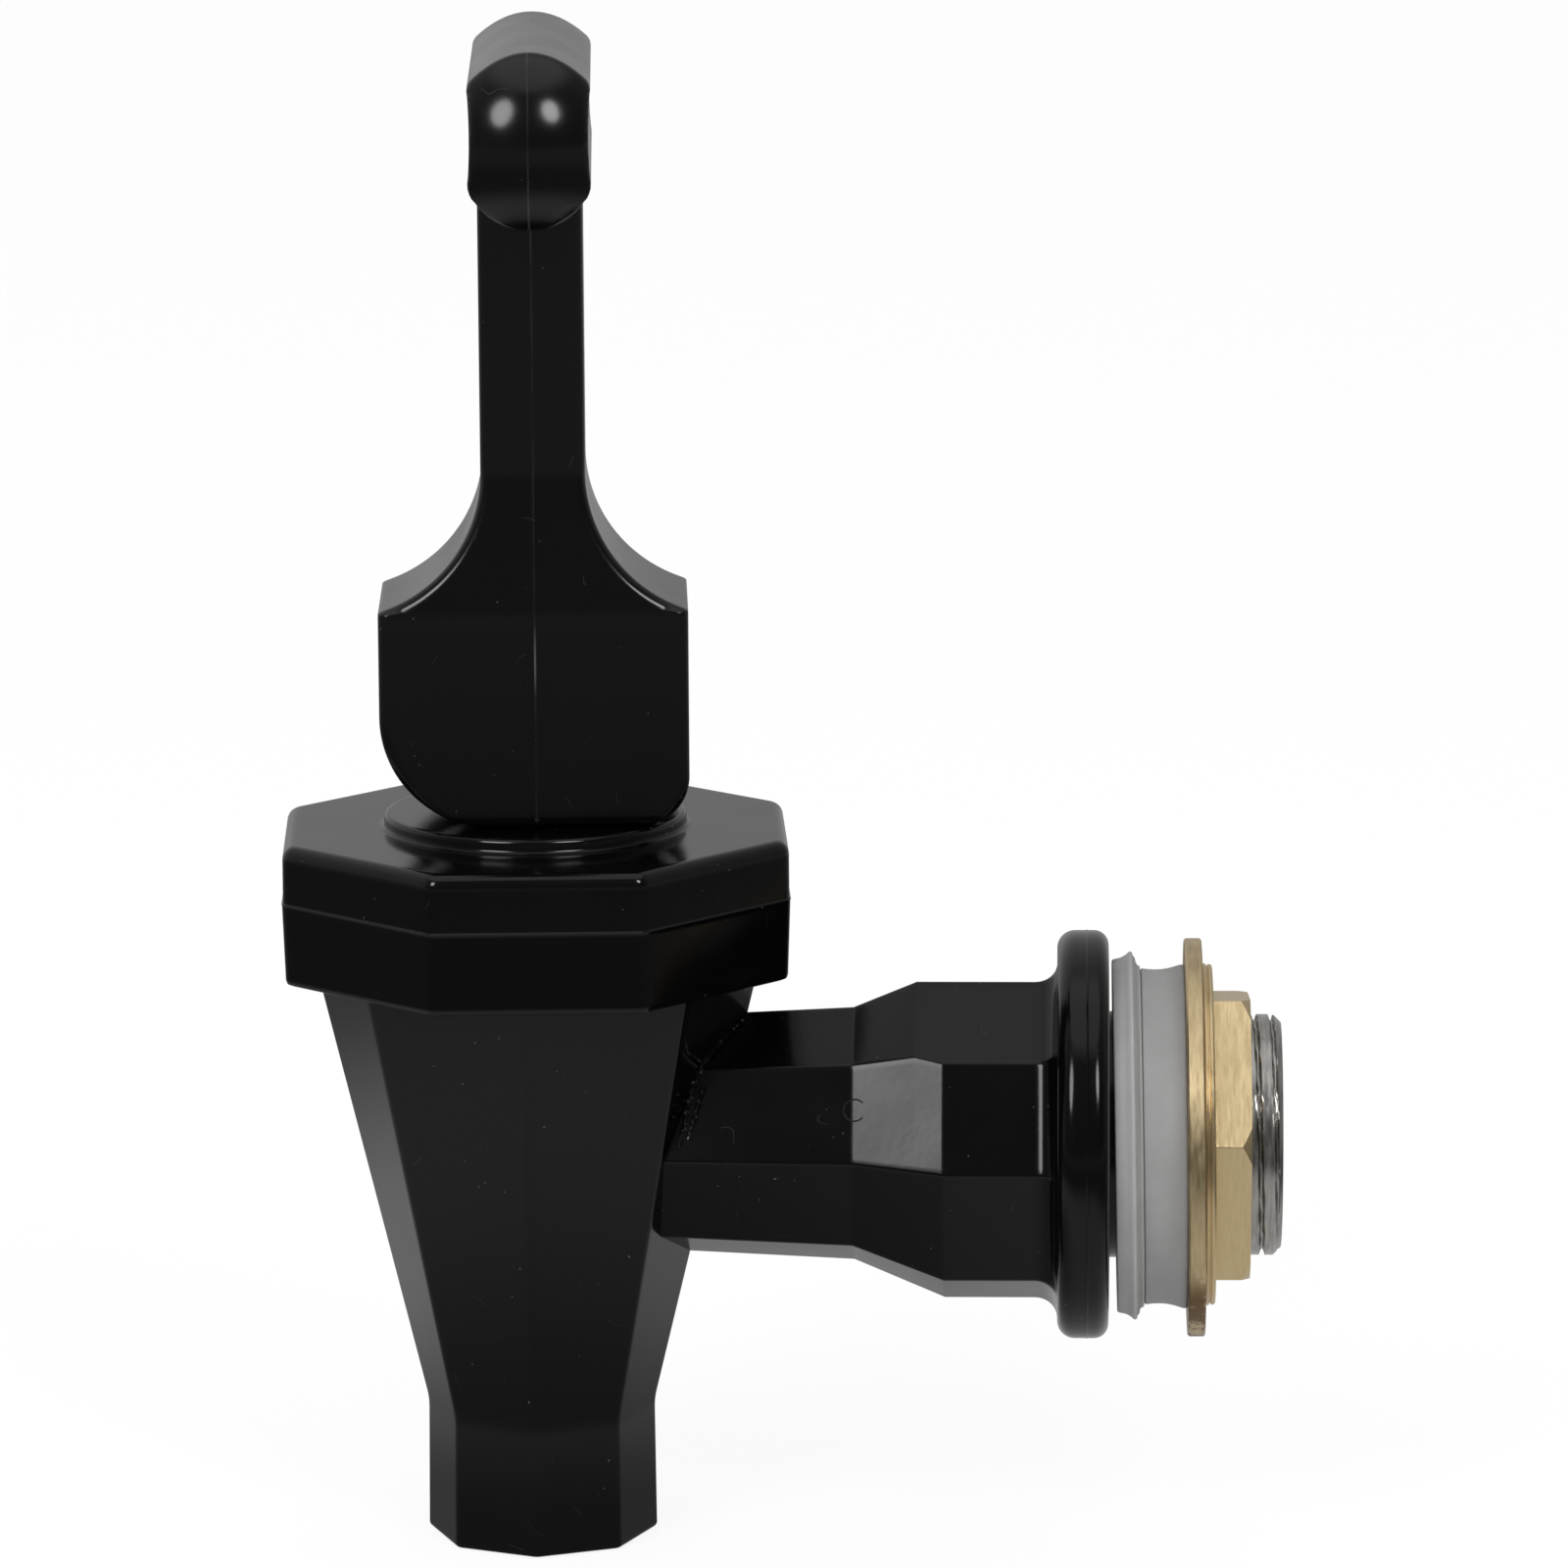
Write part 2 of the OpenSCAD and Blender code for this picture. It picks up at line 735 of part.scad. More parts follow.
// Slot for the stem, seen from the side, open below and swept to both tilts
module handle_slot() {
    reach = block_front + 4;
    far = pivot_h + 1;
    translate([0, pivot_z]) {
        circle(r = slot_half_x);
        translate([-slot_half_x, -far])
            square([2 * slot_half_x, far]);
        rotate(-60)
            translate([-slot_half_x, -reach])
                square([2 * slot_half_x, reach]);
        polygon([[0, 0], [-reach * sin(60), -reach * cos(60)], [-reach, -far], [0, -far]]);
        translate([0, -far])
            square([reach, far + slot_half_x]);
    }
}

// One glossy moulding: block with its cam, neck and cross bar
module handle() {
    color([0.06, 0.06, 0.065])
        on_valve()
            rotate([0, 0, handle_turn])
                difference() {
                    union() {
                        intersection() {
                            rotate([90, 0, 0])
                                linear_extrude(3 * block_half_y, center = true)
                                    lever_side();
                            rotate([90, 0, 90])
                                linear_extrude(3 * block_front, center = true)
                                    lever_front();
                        }
                        cross_bar();
                    }
                    rotate([90, 0, 0])
                        linear_extrude(2 * slot_half_y, center = true)
                            handle_slot();
                    translate([0, block_half_y + 1, pivot_z])
                        rotate([90, 0, 0])
                            cylinder(h = block_half_y + 1 - pin_blind_y + seat_gap, r = pin_r + seat_gap);
                }
}

handle();
pivot_pin();
stem();
return_spring();
seat_cup();
bonnet();
housing();
threaded_shank();
flange_gasket();
wall_gasket();
washer();
lock_nut();
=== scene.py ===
"""Looks of a self closing dispenser tap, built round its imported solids.

Sizes are in millimetres in the part's own frame, and raw_object() turns them into metres.
The valve stands on its own axis at VALVE_X, and the shank runs along +X from the flange.
"""
import math

import bpy
import bmesh
from mathutils import Matrix, Vector


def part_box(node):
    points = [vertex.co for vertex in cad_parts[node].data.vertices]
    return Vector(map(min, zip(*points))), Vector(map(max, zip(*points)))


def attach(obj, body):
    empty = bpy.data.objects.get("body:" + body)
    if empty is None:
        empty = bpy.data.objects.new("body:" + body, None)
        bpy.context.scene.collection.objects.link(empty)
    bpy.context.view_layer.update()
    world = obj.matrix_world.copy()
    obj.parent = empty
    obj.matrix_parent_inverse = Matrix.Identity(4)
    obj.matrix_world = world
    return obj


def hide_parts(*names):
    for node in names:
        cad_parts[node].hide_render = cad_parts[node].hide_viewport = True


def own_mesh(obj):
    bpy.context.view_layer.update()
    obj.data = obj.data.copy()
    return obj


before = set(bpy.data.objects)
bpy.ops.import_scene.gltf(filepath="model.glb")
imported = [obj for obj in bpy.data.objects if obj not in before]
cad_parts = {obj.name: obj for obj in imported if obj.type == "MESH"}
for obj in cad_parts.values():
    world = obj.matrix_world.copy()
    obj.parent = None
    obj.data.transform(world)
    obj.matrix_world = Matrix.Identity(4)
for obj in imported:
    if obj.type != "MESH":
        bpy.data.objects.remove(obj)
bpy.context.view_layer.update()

MM = 0.001
# Radius, in millimetres, that closes a profile at its axis
AXIS_R = 0.001


def node_box(node):
    """Lowest and highest corner of a solid, in millimetres."""
    low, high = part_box(node)
    return low / MM, high / MM


# Driving sizes read from the solids
HANDLE_LOW, HANDLE_HIGH = node_box("handle")
HOUSING_LOW, HOUSING_HIGH = node_box("housing")
BONNET_LOW, BONNET_HIGH = node_box("bonnet")
SHANK_LOW, SHANK_HIGH = node_box("threaded_shank")
LIP_LOW, LIP_HIGH = node_box("flange_gasket")
WALL_HIGH = node_box("wall_gasket")[1]
WASHER_HIGH = node_box("washer")[1]
NUT_LOW, NUT_HIGH = node_box("lock_nut")
CUP_HIGH = node_box("seat_cup")[1]
SPRING_LOW, SPRING_HIGH = node_box("return_spring")
STEM_LOW, STEM_HIGH = node_box("stem")


VALVE_X = (STEM_LOW.x + STEM_HIGH.x) / 2
HANDLE_TURN = math.radians(3)
BONNET_TURN = math.radians(3.6)

# Housing
BODY_TOP_R = 20.15
BODY_TOP_Z = 15.92
BODY_EDGE_R = 0.8
BODY_TOP_EDGE_R = 0.9
KNEE_R = 10.34
KNEE_Z = -24.8
SPOUT_R = 10.46
SPOUT_Z = HOUSING_LOW.z
OUTLET_R = 7.6
PORT_R = 6.6
SEAT_Z = -7.0
SEAT_WALL = 1.3
CHAMBER_FLOOR_Z = -8.2
CHAMBER_R = 11.6
PORT_Z = CHAMBER_FLOOR_Z - 2.2
NECK_R = 18.2
NECK_Z = HOUSING_HIGH.z
NECK_GAP = 0.05
TUBE_START_R = 10.3
TUBE_END_R = 11.73
WIDEN_FROM = -22.95
RIDGE_TO = -17.25
WIDEN_TO = -14.75
WIDE_TOP = 14.12
WIDE_HIGH = (9.6, 8.75)
WIDE_SIDE = (13.5, -0.58)
WIDE_LOW = (9.05, -11.3)
WIDE_BOTTOM = -15.28
CREST = (8.95, 9.2)
TUBE_EDGE_R = 0.55
WAY_R = 7.4
FLANGE_T = 4.61
FLANGE_R = 18.4
STUB_R = 11.1
STUB_LEN = HOUSING_HIGH.x
SPIGOT_R = 9.42
SPIGOT_LEN = -SHANK_LOW.x
SPIGOT_GAP = 0.02

# Weld bead where the tube joins the body, and the mould's gate
BEAD_MAIN = (
    (-32.9, -1.3, 10.75), (-34.6, -4.4, 9.7), (-36.4, -7.8, 8.1), (-37.3, -8.8, 5.8), (-38.4, -10.5, 0.9),
)
BEAD_SIDE = ((-36.2, -8.9, 6.5), (-36.9, -9.6, 4.0), (-37.6, -10.35, 1.5))
BEAD_BRANCH = ((-37.75, -12.9, 12.5), (-37.45, -11.9, 10.3), (-36.4, -8.4, 8.5))
GATE_AT = (-22.66, -9.9, 4.53)
GATE_OUT = (-0.11, -0.917, 0.38)
GATE_R = 1.05

# Bonnet
BONNET_LOW_R = 44.7 / 2 / math.cos(math.pi / 8)
BONNET_MID_R = 45.2 / 2 / math.cos(math.pi / 8)
BONNET_TOP_R = 44.97 / 2 / math.cos(math.pi / 8)
BONNET_MID_Z = 23.3
BONNET_TOP_Z = 28.55
BOSS_R = 13.58
BOSS_Z = BONNET_HIGH.z
CEILING_Z = 23.94
POCKET_Z = 26.05
POCKET_R = 8.6
STEM_HOLE_R = 3.65

# Handle
BLOCK_Z = HANDLE_LOW.z
BLOCK_FRONT = 13.65
BLOCK_BACK = 13.8
BLOCK_HALF_Y = 8.9
SHOULDER_Z = 48.8
CAM_R = 10.0
HEEL_R = 4.5
FLARE_R = 12.8
NECK_FRONT = 4.46
NECK_BACK = 4.81
NECK_HALF_Y = 7.4
BAR_HALF_X = 5.34
BAR_OFFSET = 0.27
BAR_TOP_Z = HANDLE_HIGH.z
BAR_BOTTOM_Z = 84.5
BAR_MIDDLE_Z = (BAR_TOP_Z + BAR_BOTTOM_Z) / 2
DOME_R = 9.5
DOME_Y = 12.2
DOME_Z = BAR_MIDDLE_Z - 0.6
PIVOT_Z = BLOCK_Z + 8.3
SLOT_HALF = 3.9
PIN_R = 1.62
PIN_WALL = 2.38
EDGE_R = 0.9
FLARE_EDGE_R = 2.5
SEAM_X = 0.22
SEAM_H = 0.05
SEAM_HALF = 0.13
# Colour lift of the seam line: partly its own pale colour, partly painted sheen
SEAM_TINT_AND_SHEEN = 0.022

# Where the loose rings meet, a little off the solids' joints, and how far they lean and sag
LIP_END = LIP_HIGH.x + 0.45
WALL_END = WALL_HIGH.x + 0.25
WASHER_END = WASHER_HIGH.x + 0.25
LIP_LEAN = 0.0175
WALL_LEAN = 0.014
RING_LEAN = 0.0105
GASKET_SAG = 0.2
WASHER_SAG = 0.27
RING_BORE_GAP = 0.06
DIRT_LOW_Z = -12.0
DIRT_HIGH_Z = -8.0

# Shank
THREAD_R = 11.0
THREAD_PITCH = 1.5
THREAD_CREST_R = 10.85
THREAD_DEPTH = 0.55
INLET_R = 7.8
SHANK_END = SHANK_HIGH.x
NUT_HEX_X = NUT_LOW.x + 1.18
NUT_AF = 25.0
NUT_STEP_R = 15.4
NUT_TURN = math.radians(9.1)


# Points, rings and shells


def arc(centre, radius, start, end, steps):
    """Points on an arc in a plane, both ends included, with its angles in degrees."""
    points = []
    for i in range(steps + 1):
        a = math.radians(start + (end - start) * i / steps)
        points.append((centre[0] + radius * math.cos(a), centre[1] + radius * math.sin(a)))
    return points


def rounded_polygon(corners, radius, steps=5, shares=(0.04, 0.96)):
    """A convex outline with an arc at each corner and points at shares of its straight sides."""
    bends = []
    count = len(corners)
    for i in range(count):
        here = Vector(corners[i])
        back = (Vector(corners[i - 1]) - here).normalized()
        ahead = (Vector(corners[(i + 1) % count]) - here).normalized()
        half = back.angle(ahead) / 2
        reach = radius / math.tan(half)
        centre = here + (back + ahead).normalized() * (radius / math.sin(half))
        first = here + back * reach - centre
        last = here + ahead * reach - centre
        turn = first.angle(last)
        bend = []
        for k in range(steps + 1):
            from_first = first * math.sin((1 - k / steps) * turn)
            from_last = last * math.sin(k / steps * turn)
            bend.append(centre + (from_first + from_last) / math.sin(turn))
        bends.append(bend)
    points = []
    for i in range(count):
        start = bends[i][-1]
        end = bends[(i + 1) % count][0]
        points += bends[i] + [start.lerp(end, share) for share in shares]
    return [tuple(p) for p in points]


def octagon(corner_r, turn, radius, shares=(0.04, 0.96)):
    """Outline of a rounded regular octagon, its first corner at an angle."""
    corners = []
    for i in range(8):
        a = turn + i * math.pi / 4
        corners.append((corner_r * math.cos(a), corner_r * math.sin(a)))
    return rounded_polygon(corners, radius, shares=shares)


def circle(radius, steps):
    """Points evenly round a circle."""
    angles = [2 * math.pi * j / steps for j in range(steps)]
    return [(radius * math.cos(a), radius * math.sin(a)) for a in angles]


def hoop(centre, side, up, radius, steps):
    """A ring of points round a centre, in the plane of two unit vectors."""
    return [tuple(centre + (side * a + up * b) * radius) for a, b in circle(1, steps)]


def circle_like(outline, radius):
    """A circle with its points at the same angles as those of an outline."""
    points = []
    for a, b in outline:
        length = math.hypot(a, b)
        points.append((a / length * radius, b / length * radius))
    return points


def level(outline, z):
    """An outline laid flat at a height."""
    return [(a, b, z) for a, b in outline]


def upright(outline, x):
    """An outline stood across the shank at a place along it."""
    return [(x, a, b) for a, b in outline]


def loft(rings, closed=False):
    """A shell through rings of equal length, capped at both ends or closed into a loop."""
    count = len(rings[0])
    verts = [p for ring in rings for p in ring]
    faces = []
    for i in range(len(rings) if closed else len(rings) - 1):
        a = i * count
        b = ((i + 1) % len(rings)) * count
        for j in range(count):
            k = (j + 1) % count
            faces.append((a + j, a + k, b + k, b + j))
    if not closed:
        faces.append(tuple(range(count - 1, -1, -1)))
        last = (len(rings) - 1) * count
        faces.append(tuple(range(last, last + count)))
    return verts, faces


def revolve(profile, axis, steps, closed=True, ripple=None):
    """A shell of revolution from points of (place along the axis, radius), which a ripple may add to."""
    rings = []
    for along, radius in profile:
        ring = []
        for j in range(steps):
            a = 2 * math.pi * j / steps
            r = radius + (ripple(along, radius, a) if ripple else 0)
            if axis == "x":
                ring.append((along, r * math.cos(a), r * math.sin(a)))
            else:
                ring.append((r * math.cos(a), r * math.sin(a), along))
        rings.append(ring)
    return loft(rings, closed)


def scene_object(name, data):
    """A new object in the scene."""
    obj = bpy.data.objects.new(name, data)
    bpy.context.scene.collection.objects.link(obj)
    return obj


def raw_object(name, shell, place=None):
    """A mesh object from a shell in millimetres, with its normals facing out."""
    verts, faces = shell
    mesh = bpy.data.meshes.new(name)
    mesh.from_pydata([tuple(c * MM for c in v) for v in verts], [], faces)
    bm = bmesh.new()
    bm.from_mesh(mesh)
    bmesh.ops.remove_doubles(bm, verts=bm.verts, dist=1e-7)
    bmesh.ops.recalc_face_normals(bm, faces=bm.faces)
    bm.to_mesh(mesh)
    bm.free()
    if place:
        mesh.transform(place)
    return scene_object(name, mesh)


def combine(obj, other, operation):
    """Joins or cuts one object with another, and removes the other."""
    mod = obj.modifiers.new("combine", "BOOLEAN")
    mod.operation = operation
    mod.solver = "EXACT"
    mod.object = other
    depsgraph = bpy.context.evaluated_depsgraph_get()
    mesh = bpy.data.meshes.new_from_object(obj.evaluated_get(depsgraph))
    obj.modifiers.clear()
    obj.data = mesh
    bpy.data.objects.remove(other)


def sink(obj, other):
    """Adds a small closed shell that is sunk in an object's surface, and removes its own object."""
    bm = bmesh.new()
    bm.from_mesh(obj.data)
    bm.from_mesh(other.data)
    bm.to_mesh(obj.data)
    bm.free()
    bpy.data.objects.remove(other)


def dress(obj, body, nodes, material, angle=30):
    """Shades an object, gives it its material and lets it ride in place of its solids."""
    obj.data.materials.clear()
    obj.data.materials.append(material)
    for polygon in obj.data.polygons:
        polygon.material_index = 0
    obj.data.shade_smooth()
    obj.data.set_sharp_from_angle(angle=math.radians(angle))
    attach(obj, body)
    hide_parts(*nodes)


def at_valve(turn=0.0):
    """Matrix that puts what is drawn round the Z axis on the axis of the valve."""
    return Matrix.Translation((VALVE_X * MM, 0, 0)) @ Matrix.Rotation(turn, 4, "Z")


# Materials


def new_material(name):
    """An empty node material with its shader and output."""
    material = bpy.data.materials.new(name)
    material.use_nodes = True
    material.node_tree.nodes.clear()
    shader = node(material, "ShaderNodeBsdfPrincipled")
    output = node(material, "ShaderNodeOutputMaterial")
    link(material, shader.outputs["BSDF"], output.inputs["Surface"])
    return material, shader


def preset(made, **inputs):
    """Sets a node's inputs by name, with spaces written as underscores."""
    for key, value in inputs.items():
        made.inputs[key.replace("_", " ")].default_value = value


def node(owner, kind, **inputs):
    """Adds a node with some of its inputs set."""
    made = owner.node_tree.nodes.new(kind)
    preset(made, **inputs)
    return made


def link(owner, source, target):
    """Links two sockets."""
    owner.node_tree.links.new(source, target)


def maths(owner, operation, first, second):
    """The result of a maths node fed by sockets or plain numbers."""
    made = node(owner, "ShaderNodeMath")
    made.operation = operation
    for socket, value in zip(made.inputs, (first, second)):
        if isinstance(value, (int, float)):
            socket.default_value = value
        else:
            link(owner, value, socket)
    return made.outputs[0]


def fade(owner, source, low, high, start, end):
    """A smooth change from start to end while the source runs from low to high."""
    made = node(owner, "ShaderNodeMapRange")
    made.interpolation_type = "SMOOTHSTEP"
    link(owner, source, made.inputs["Value"])
    for name, value in (("From Min", low), ("From Max", high), ("To Min", start), ("To Max", end)):
        made.inputs[name].default_value = value
    return made.outputs["Result"]


def coordinate(owner, kind, axis):
    """One coordinate, in one of the spaces that a material or the world knows."""
    coords = node(owner, "ShaderNodeTexCoord")
    split = node(owner, "ShaderNodeSeparateXYZ")
    link(owner, coords.outputs[kind], split.inputs["Vector"])
    return split.outputs[axis]


def noise(material, scale, detail, roughness, stretch=(1, 1, 1)):
    """Noise in object space, with its pattern squeezed by a scale for each axis."""
    coords = node(material, "ShaderNodeTexCoord")
    mapping = node(material, "ShaderNodeMapping", Scale=stretch)
    link(material, coords.outputs["Object"], mapping.inputs["Vector"])
    made = node(material, "ShaderNodeTexNoise", Scale=scale, Detail=detail, Roughness=roughness)
    link(material, mapping.outputs["Vector"], made.inputs["Vector"])
    return made.outputs["Fac"]


def ramp(material, source, stops):
    """A colour ramp from places and grey levels or colours."""
    made = node(material, "ShaderNodeValToRGB")
    elements = made.color_ramp.elements
    while len(elements) < len(stops):
        elements.new(0.5)
    for element, (place, colour) in zip(elements, stops):
        element.position = place
        if isinstance(colour, (int, float)):
            colour = (colour, colour, colour)
        element.color = (*colour, 1)
    link(material, source, made.inputs["Fac"])
    return made.outputs["Color"]


def add_bump(material, shader, height, strength, distance):
    """Feeds a height into the shader's normal."""
    bump = node(material, "ShaderNodeBump", Strength=strength, Distance=distance)
    link(material, height, bump.inputs["Height"])
    link(material, bump.outputs["Normal"], shader.inputs["Normal"])
    return bump


def seam_tint_and_glint(material):
    """A fine pale line down the handle where the halves of its mould met: partly its own colour, partly
    painted sheen that is brighter on the bar, and a painted glint on the block.
    """
    coords = node(material, "ShaderNodeTexCoord")
    across = node(material, "ShaderNodeVectorMath")
    across.operation = "DOT_PRODUCT"
    across.inputs[1].default_value = (math.cos(HANDLE_TURN), math.sin(HANDLE_TURN), 0)
    link(material, coords.outputs["Object"], across.inputs[0])
    middle = (VALVE_X * math.cos(HANDLE_TURN) + SEAM_X) * MM
    off = maths(material, "SUBTRACT", across.outputs["Value"], middle)
    line = fade(material, maths(material, "ABSOLUTE", off, 0.0), 0.05 * MM, 0.12 * MM, SEAM_TINT_AND_SHEEN, 0.0)
    patchy = ramp(material, noise(material, 160, 3.0, 0.6), [(0.4, 0.15), (0.62, 1.0)])
    z = coordinate(material, "Object", "Z")
    # Painted sheen: the line is four times brighter on the bar than on the neck
    sheen_on_bar = fade(material, z, (BAR_BOTTOM_Z - 6) * MM, (BAR_BOTTOM_Z + 2) * MM, 0.25, 1.0)
    # Painted glint on the seam low on the block, just under the shoulder
    low_end = fade(material, z, (SHOULDER_Z - 7.5) * MM, (SHOULDER_Z - 4) * MM, 0.0, 2.0)
    high_end = fade(material, z, (SHOULDER_Z - 3.6) * MM, SHOULDER_Z * MM, 1.0, 0.0)
    painted_glint_on_block = maths(material, "MULTIPLY", low_end, high_end)
    lit = maths(material, "ADD", maths(material, "MULTIPLY", sheen_on_bar, patchy), painted_glint_on_block)
    return maths(material, "MULTIPLY", line, lit)


def speckle(material, colour, seam_and_glint_level=0.0):
    """A few dust specks and short hairline scratches on a plain colour, with an added level on top, which
    for the handle is its seam line with painted sheen and glint.
    """
    dust = noise(material, 2300, 1.0, 0.3)
    specks = ramp(material, dust, [(0.0, 0.0), (0.81, 0.0), (0.83, 0.045)])
    lines = noise(material, 210, 1.0, 0.4)
    thin = ramp(material, lines, [(0.0, 0.0), (0.497, 0.0), (0.5, 0.014), (0.503, 0.0)])
    where = noise(material, 430, 0.0, 0.0)
    short = ramp(material, where, [(0.0, 0.0), (0.73, 0.0), (0.75, 1.0)])
    scratches = maths(material, "MULTIPLY", thin, short)
    marks = maths(material, "ADD", specks, scratches)
    level = maths(material, "ADD", maths(material, "ADD", marks, colour), seam_and_glint_level)
    joined = node(material, "ShaderNodeCombineColor")
    for channel in ("Red", "Green", "Blue"):
        link(material, level, joined.inputs[channel])
    return joined.outputs["Color"]


def moulded_plastic(name, colour, roughness, wave, grain, ior=1.45, seam=False):
    """Black moulded plastic: slightly uneven gloss, fine grain, dust and small scratches, and on request
    the seam's pale line with painted sheen and glint.
    """
    material, shader = new_material(name)
    preset(shader, IOR=ior)
    cloud = noise(material, 90, 5, 0.6)
    gloss = ramp(material, cloud, [(0.3, roughness * 0.85), (0.75, roughness * 1.25)])
    link(material, gloss, shader.inputs["Roughness"])
    # The seam's pale line, with its painted sheen and painted glint, goes into the base colour
    seam_and_glint_level = seam_tint_and_glint(material) if seam else 0.0
    link(material, speckle(material, colour, seam_and_glint_level), shader.inputs["Base Color"])
    waves = noise(material, wave, 2.0, 0.4)
    first = add_bump(material, shader, waves, 0.25, 0.0002)
    fine = noise(material, grain, 3.0, 0.6)
    second = add_bump(material, shader, fine, 0.05, 0.00005)
    link(material, first.outputs["Normal"], second.inputs["Normal"])
    return material


def rubber(name, low, high):
    """Grey silicone rubber with faint marks and a soft surface."""
    material, shader = new_material(name)
    preset(shader, Roughness=0.5, IOR=1.4, Subsurface_Weight=0.15)
    preset(shader, Subsurface_Radius=(1, 1, 1), Subsurface_Scale=0.0008)
    cloud = noise(material, 260, 5, 0.6)
    tone = ramp(material, cloud, [(0.3, low), (0.7, high)])
    link(material, tone, shader.inputs["Base Color"])
    fine = noise(material, 2500, 3, 0.6)
    add_bump(material, shader, fine, 0.15, 0.00008)
    return material


def dirt_on(material, tone, dirt):
    """A metal's tone with stains of dirt low down on it."""
    stain = noise(material, 420, 5, 0.7)
    spots = ramp(material, stain, [(0.42, 0.0), (0.5, 0.9)])
    z = coordinate(material, "Object", "Z")
    low_down = fade(material, z, DIRT_LOW_Z * MM, DIRT_HIGH_Z * MM, 1.0, 0.0)
    mix = node(material, "ShaderNodeMix")
    mix.data_type = "RGBA"
    link(material, maths(material, "MULTIPLY", spots, low_down), mix.inputs["Factor"])
    link(material, tone, mix.inputs["A"])
    mix.inputs["B"].default_value = (*dirt, 1)
    return mix.outputs["Result"]


def turned_metal(name, low, high, roughness, stretch, dirt=None):
    """Metal with fine turning marks, which run round the axis that stretch squeezes."""
    material, shader = new_material(name)
    preset(shader, Metallic=1.0)
    lines = noise(material, 420, 4, 0.6, stretch)
    tone = ramp(material, lines, [(0.3, low), (0.7, high)])
    gloss = ramp(material, lines, [(0.3, roughness * 0.8), (0.7, roughness * 1.3)])
    link(material, gloss, shader.inputs["Roughness"])
    if dirt:
        tone = dirt_on(material, tone, dirt)
    link(material, tone, shader.inputs["Base Color"])
    add_bump(material, shader, lines, 0.12, 0.00005)
    return material


# Handle


def soft_least(a, b, k):
    """The smaller of two values, rounded off where they are close."""
    least = min(a, b)
    return least - k * math.log(math.exp((least - a) / k) + math.exp((least - b) / k))


def handle_reach(z, reach, low_r, neck):
    """How far the block and neck reach from the stem on one side, at a height."""
    lead = 1.0
    lead_slope = 4
    softness = 0.22
    side = reach
    rise = z - BLOCK_Z
    if rise < low_r:
        side = reach - low_r + math.sqrt(max(low_r ** 2 - (low_r - rise) ** 2, 0))
    climb = z - SHOULDER_Z
    if climb < -lead:
        return side
    if climb >= FLARE_R:
        return neck
    drop = FLARE_R - max(climb, 0)
    flare = neck + FLARE_R - math.sqrt(max(FLARE_R ** 2 - drop ** 2, 0))
    if climb < 0:
        flare -= climb * lead_slope
    return soft_least(side, flare, softness)


def handle_half_depth(z):
    """Half depth of the block and neck at a height."""
    edge = 1.1
    softness = 0.04
    rise = z - BLOCK_Z
    depth = BLOCK_HALF_Y
    if rise < edge:
        depth -= edge - math.sqrt(max(edge ** 2 - (edge - rise) ** 2, 0))
    taper = BLOCK_HALF_Y - (BLOCK_HALF_Y - NECK_HALF_Y) * (z - SHOULDER_Z) / FLARE_R
    depth = soft_least(depth, taper, softness)
    return -soft_least(-depth, -NECK_HALF_Y, softness)


def handle_section(z):
    """Rounded outline of the block or neck, with its mould seam down both broad faces."""
    sides = []
    step = 0.1
    for reach, low_r, neck in ((BLOCK_BACK, HEEL_R, NECK_BACK), (BLOCK_FRONT, CAM_R, NECK_FRONT)):
        side = handle_reach(z, reach, low_r, neck)
        slope = 0.0
        if z > SHOULDER_Z - 1:
            above = handle_reach(z + step, reach, low_r, neck)
            below = handle_reach(z - step, reach, low_r, neck)
            slope = (above - below) / (2 * step)
        wide = min(EDGE_R * math.hypot(1, slope), FLARE_EDGE_R)
        sides.append((side, wide))
    depth = handle_half_depth(z)
    (back, back_r), (front, front_r) = sides
    quarter = []
    for along, up in arc((0, 0), 1, 0, 90, 8):
        quarter.append((back - back_r + along * back_r, depth - EDGE_R + up * EDGE_R))
    quarter.append((back - back_r - 0.25, depth))
    quarter += [(SEAM_X + 0.4, depth), (SEAM_X + SEAM_HALF, depth), (SEAM_X, depth + SEAM_H)]
    other = []
    for along, up in arc((0, 0), 1, 180, 90, 8):
        other.append((along * front_r + front_r - front, depth - EDGE_R + up * EDGE_R))
    other.append((front_r + 0.25 - front, depth))
    other += [(SEAM_X - 0.4, depth), (SEAM_X - SEAM_HALF, depth)]
    half = [(back, depth - EDGE_R - 0.3)] + quarter + other[::-1] + [(-front, depth - EDGE_R - 0.3)]
    return half + [(x, -y) for x, y in reversed(half)]


def spread(stops):
    """Heights from stops of (height, step up to the next stop)."""
    heights = []
    for (start, step), (end, _) in zip(stops, stops[1:]):
        count = max(1, round((end - start) / step))
        heights += [start + (end - start) * i / count for i in range(count)]
    heights.append(stops[-1][0])
    return heights


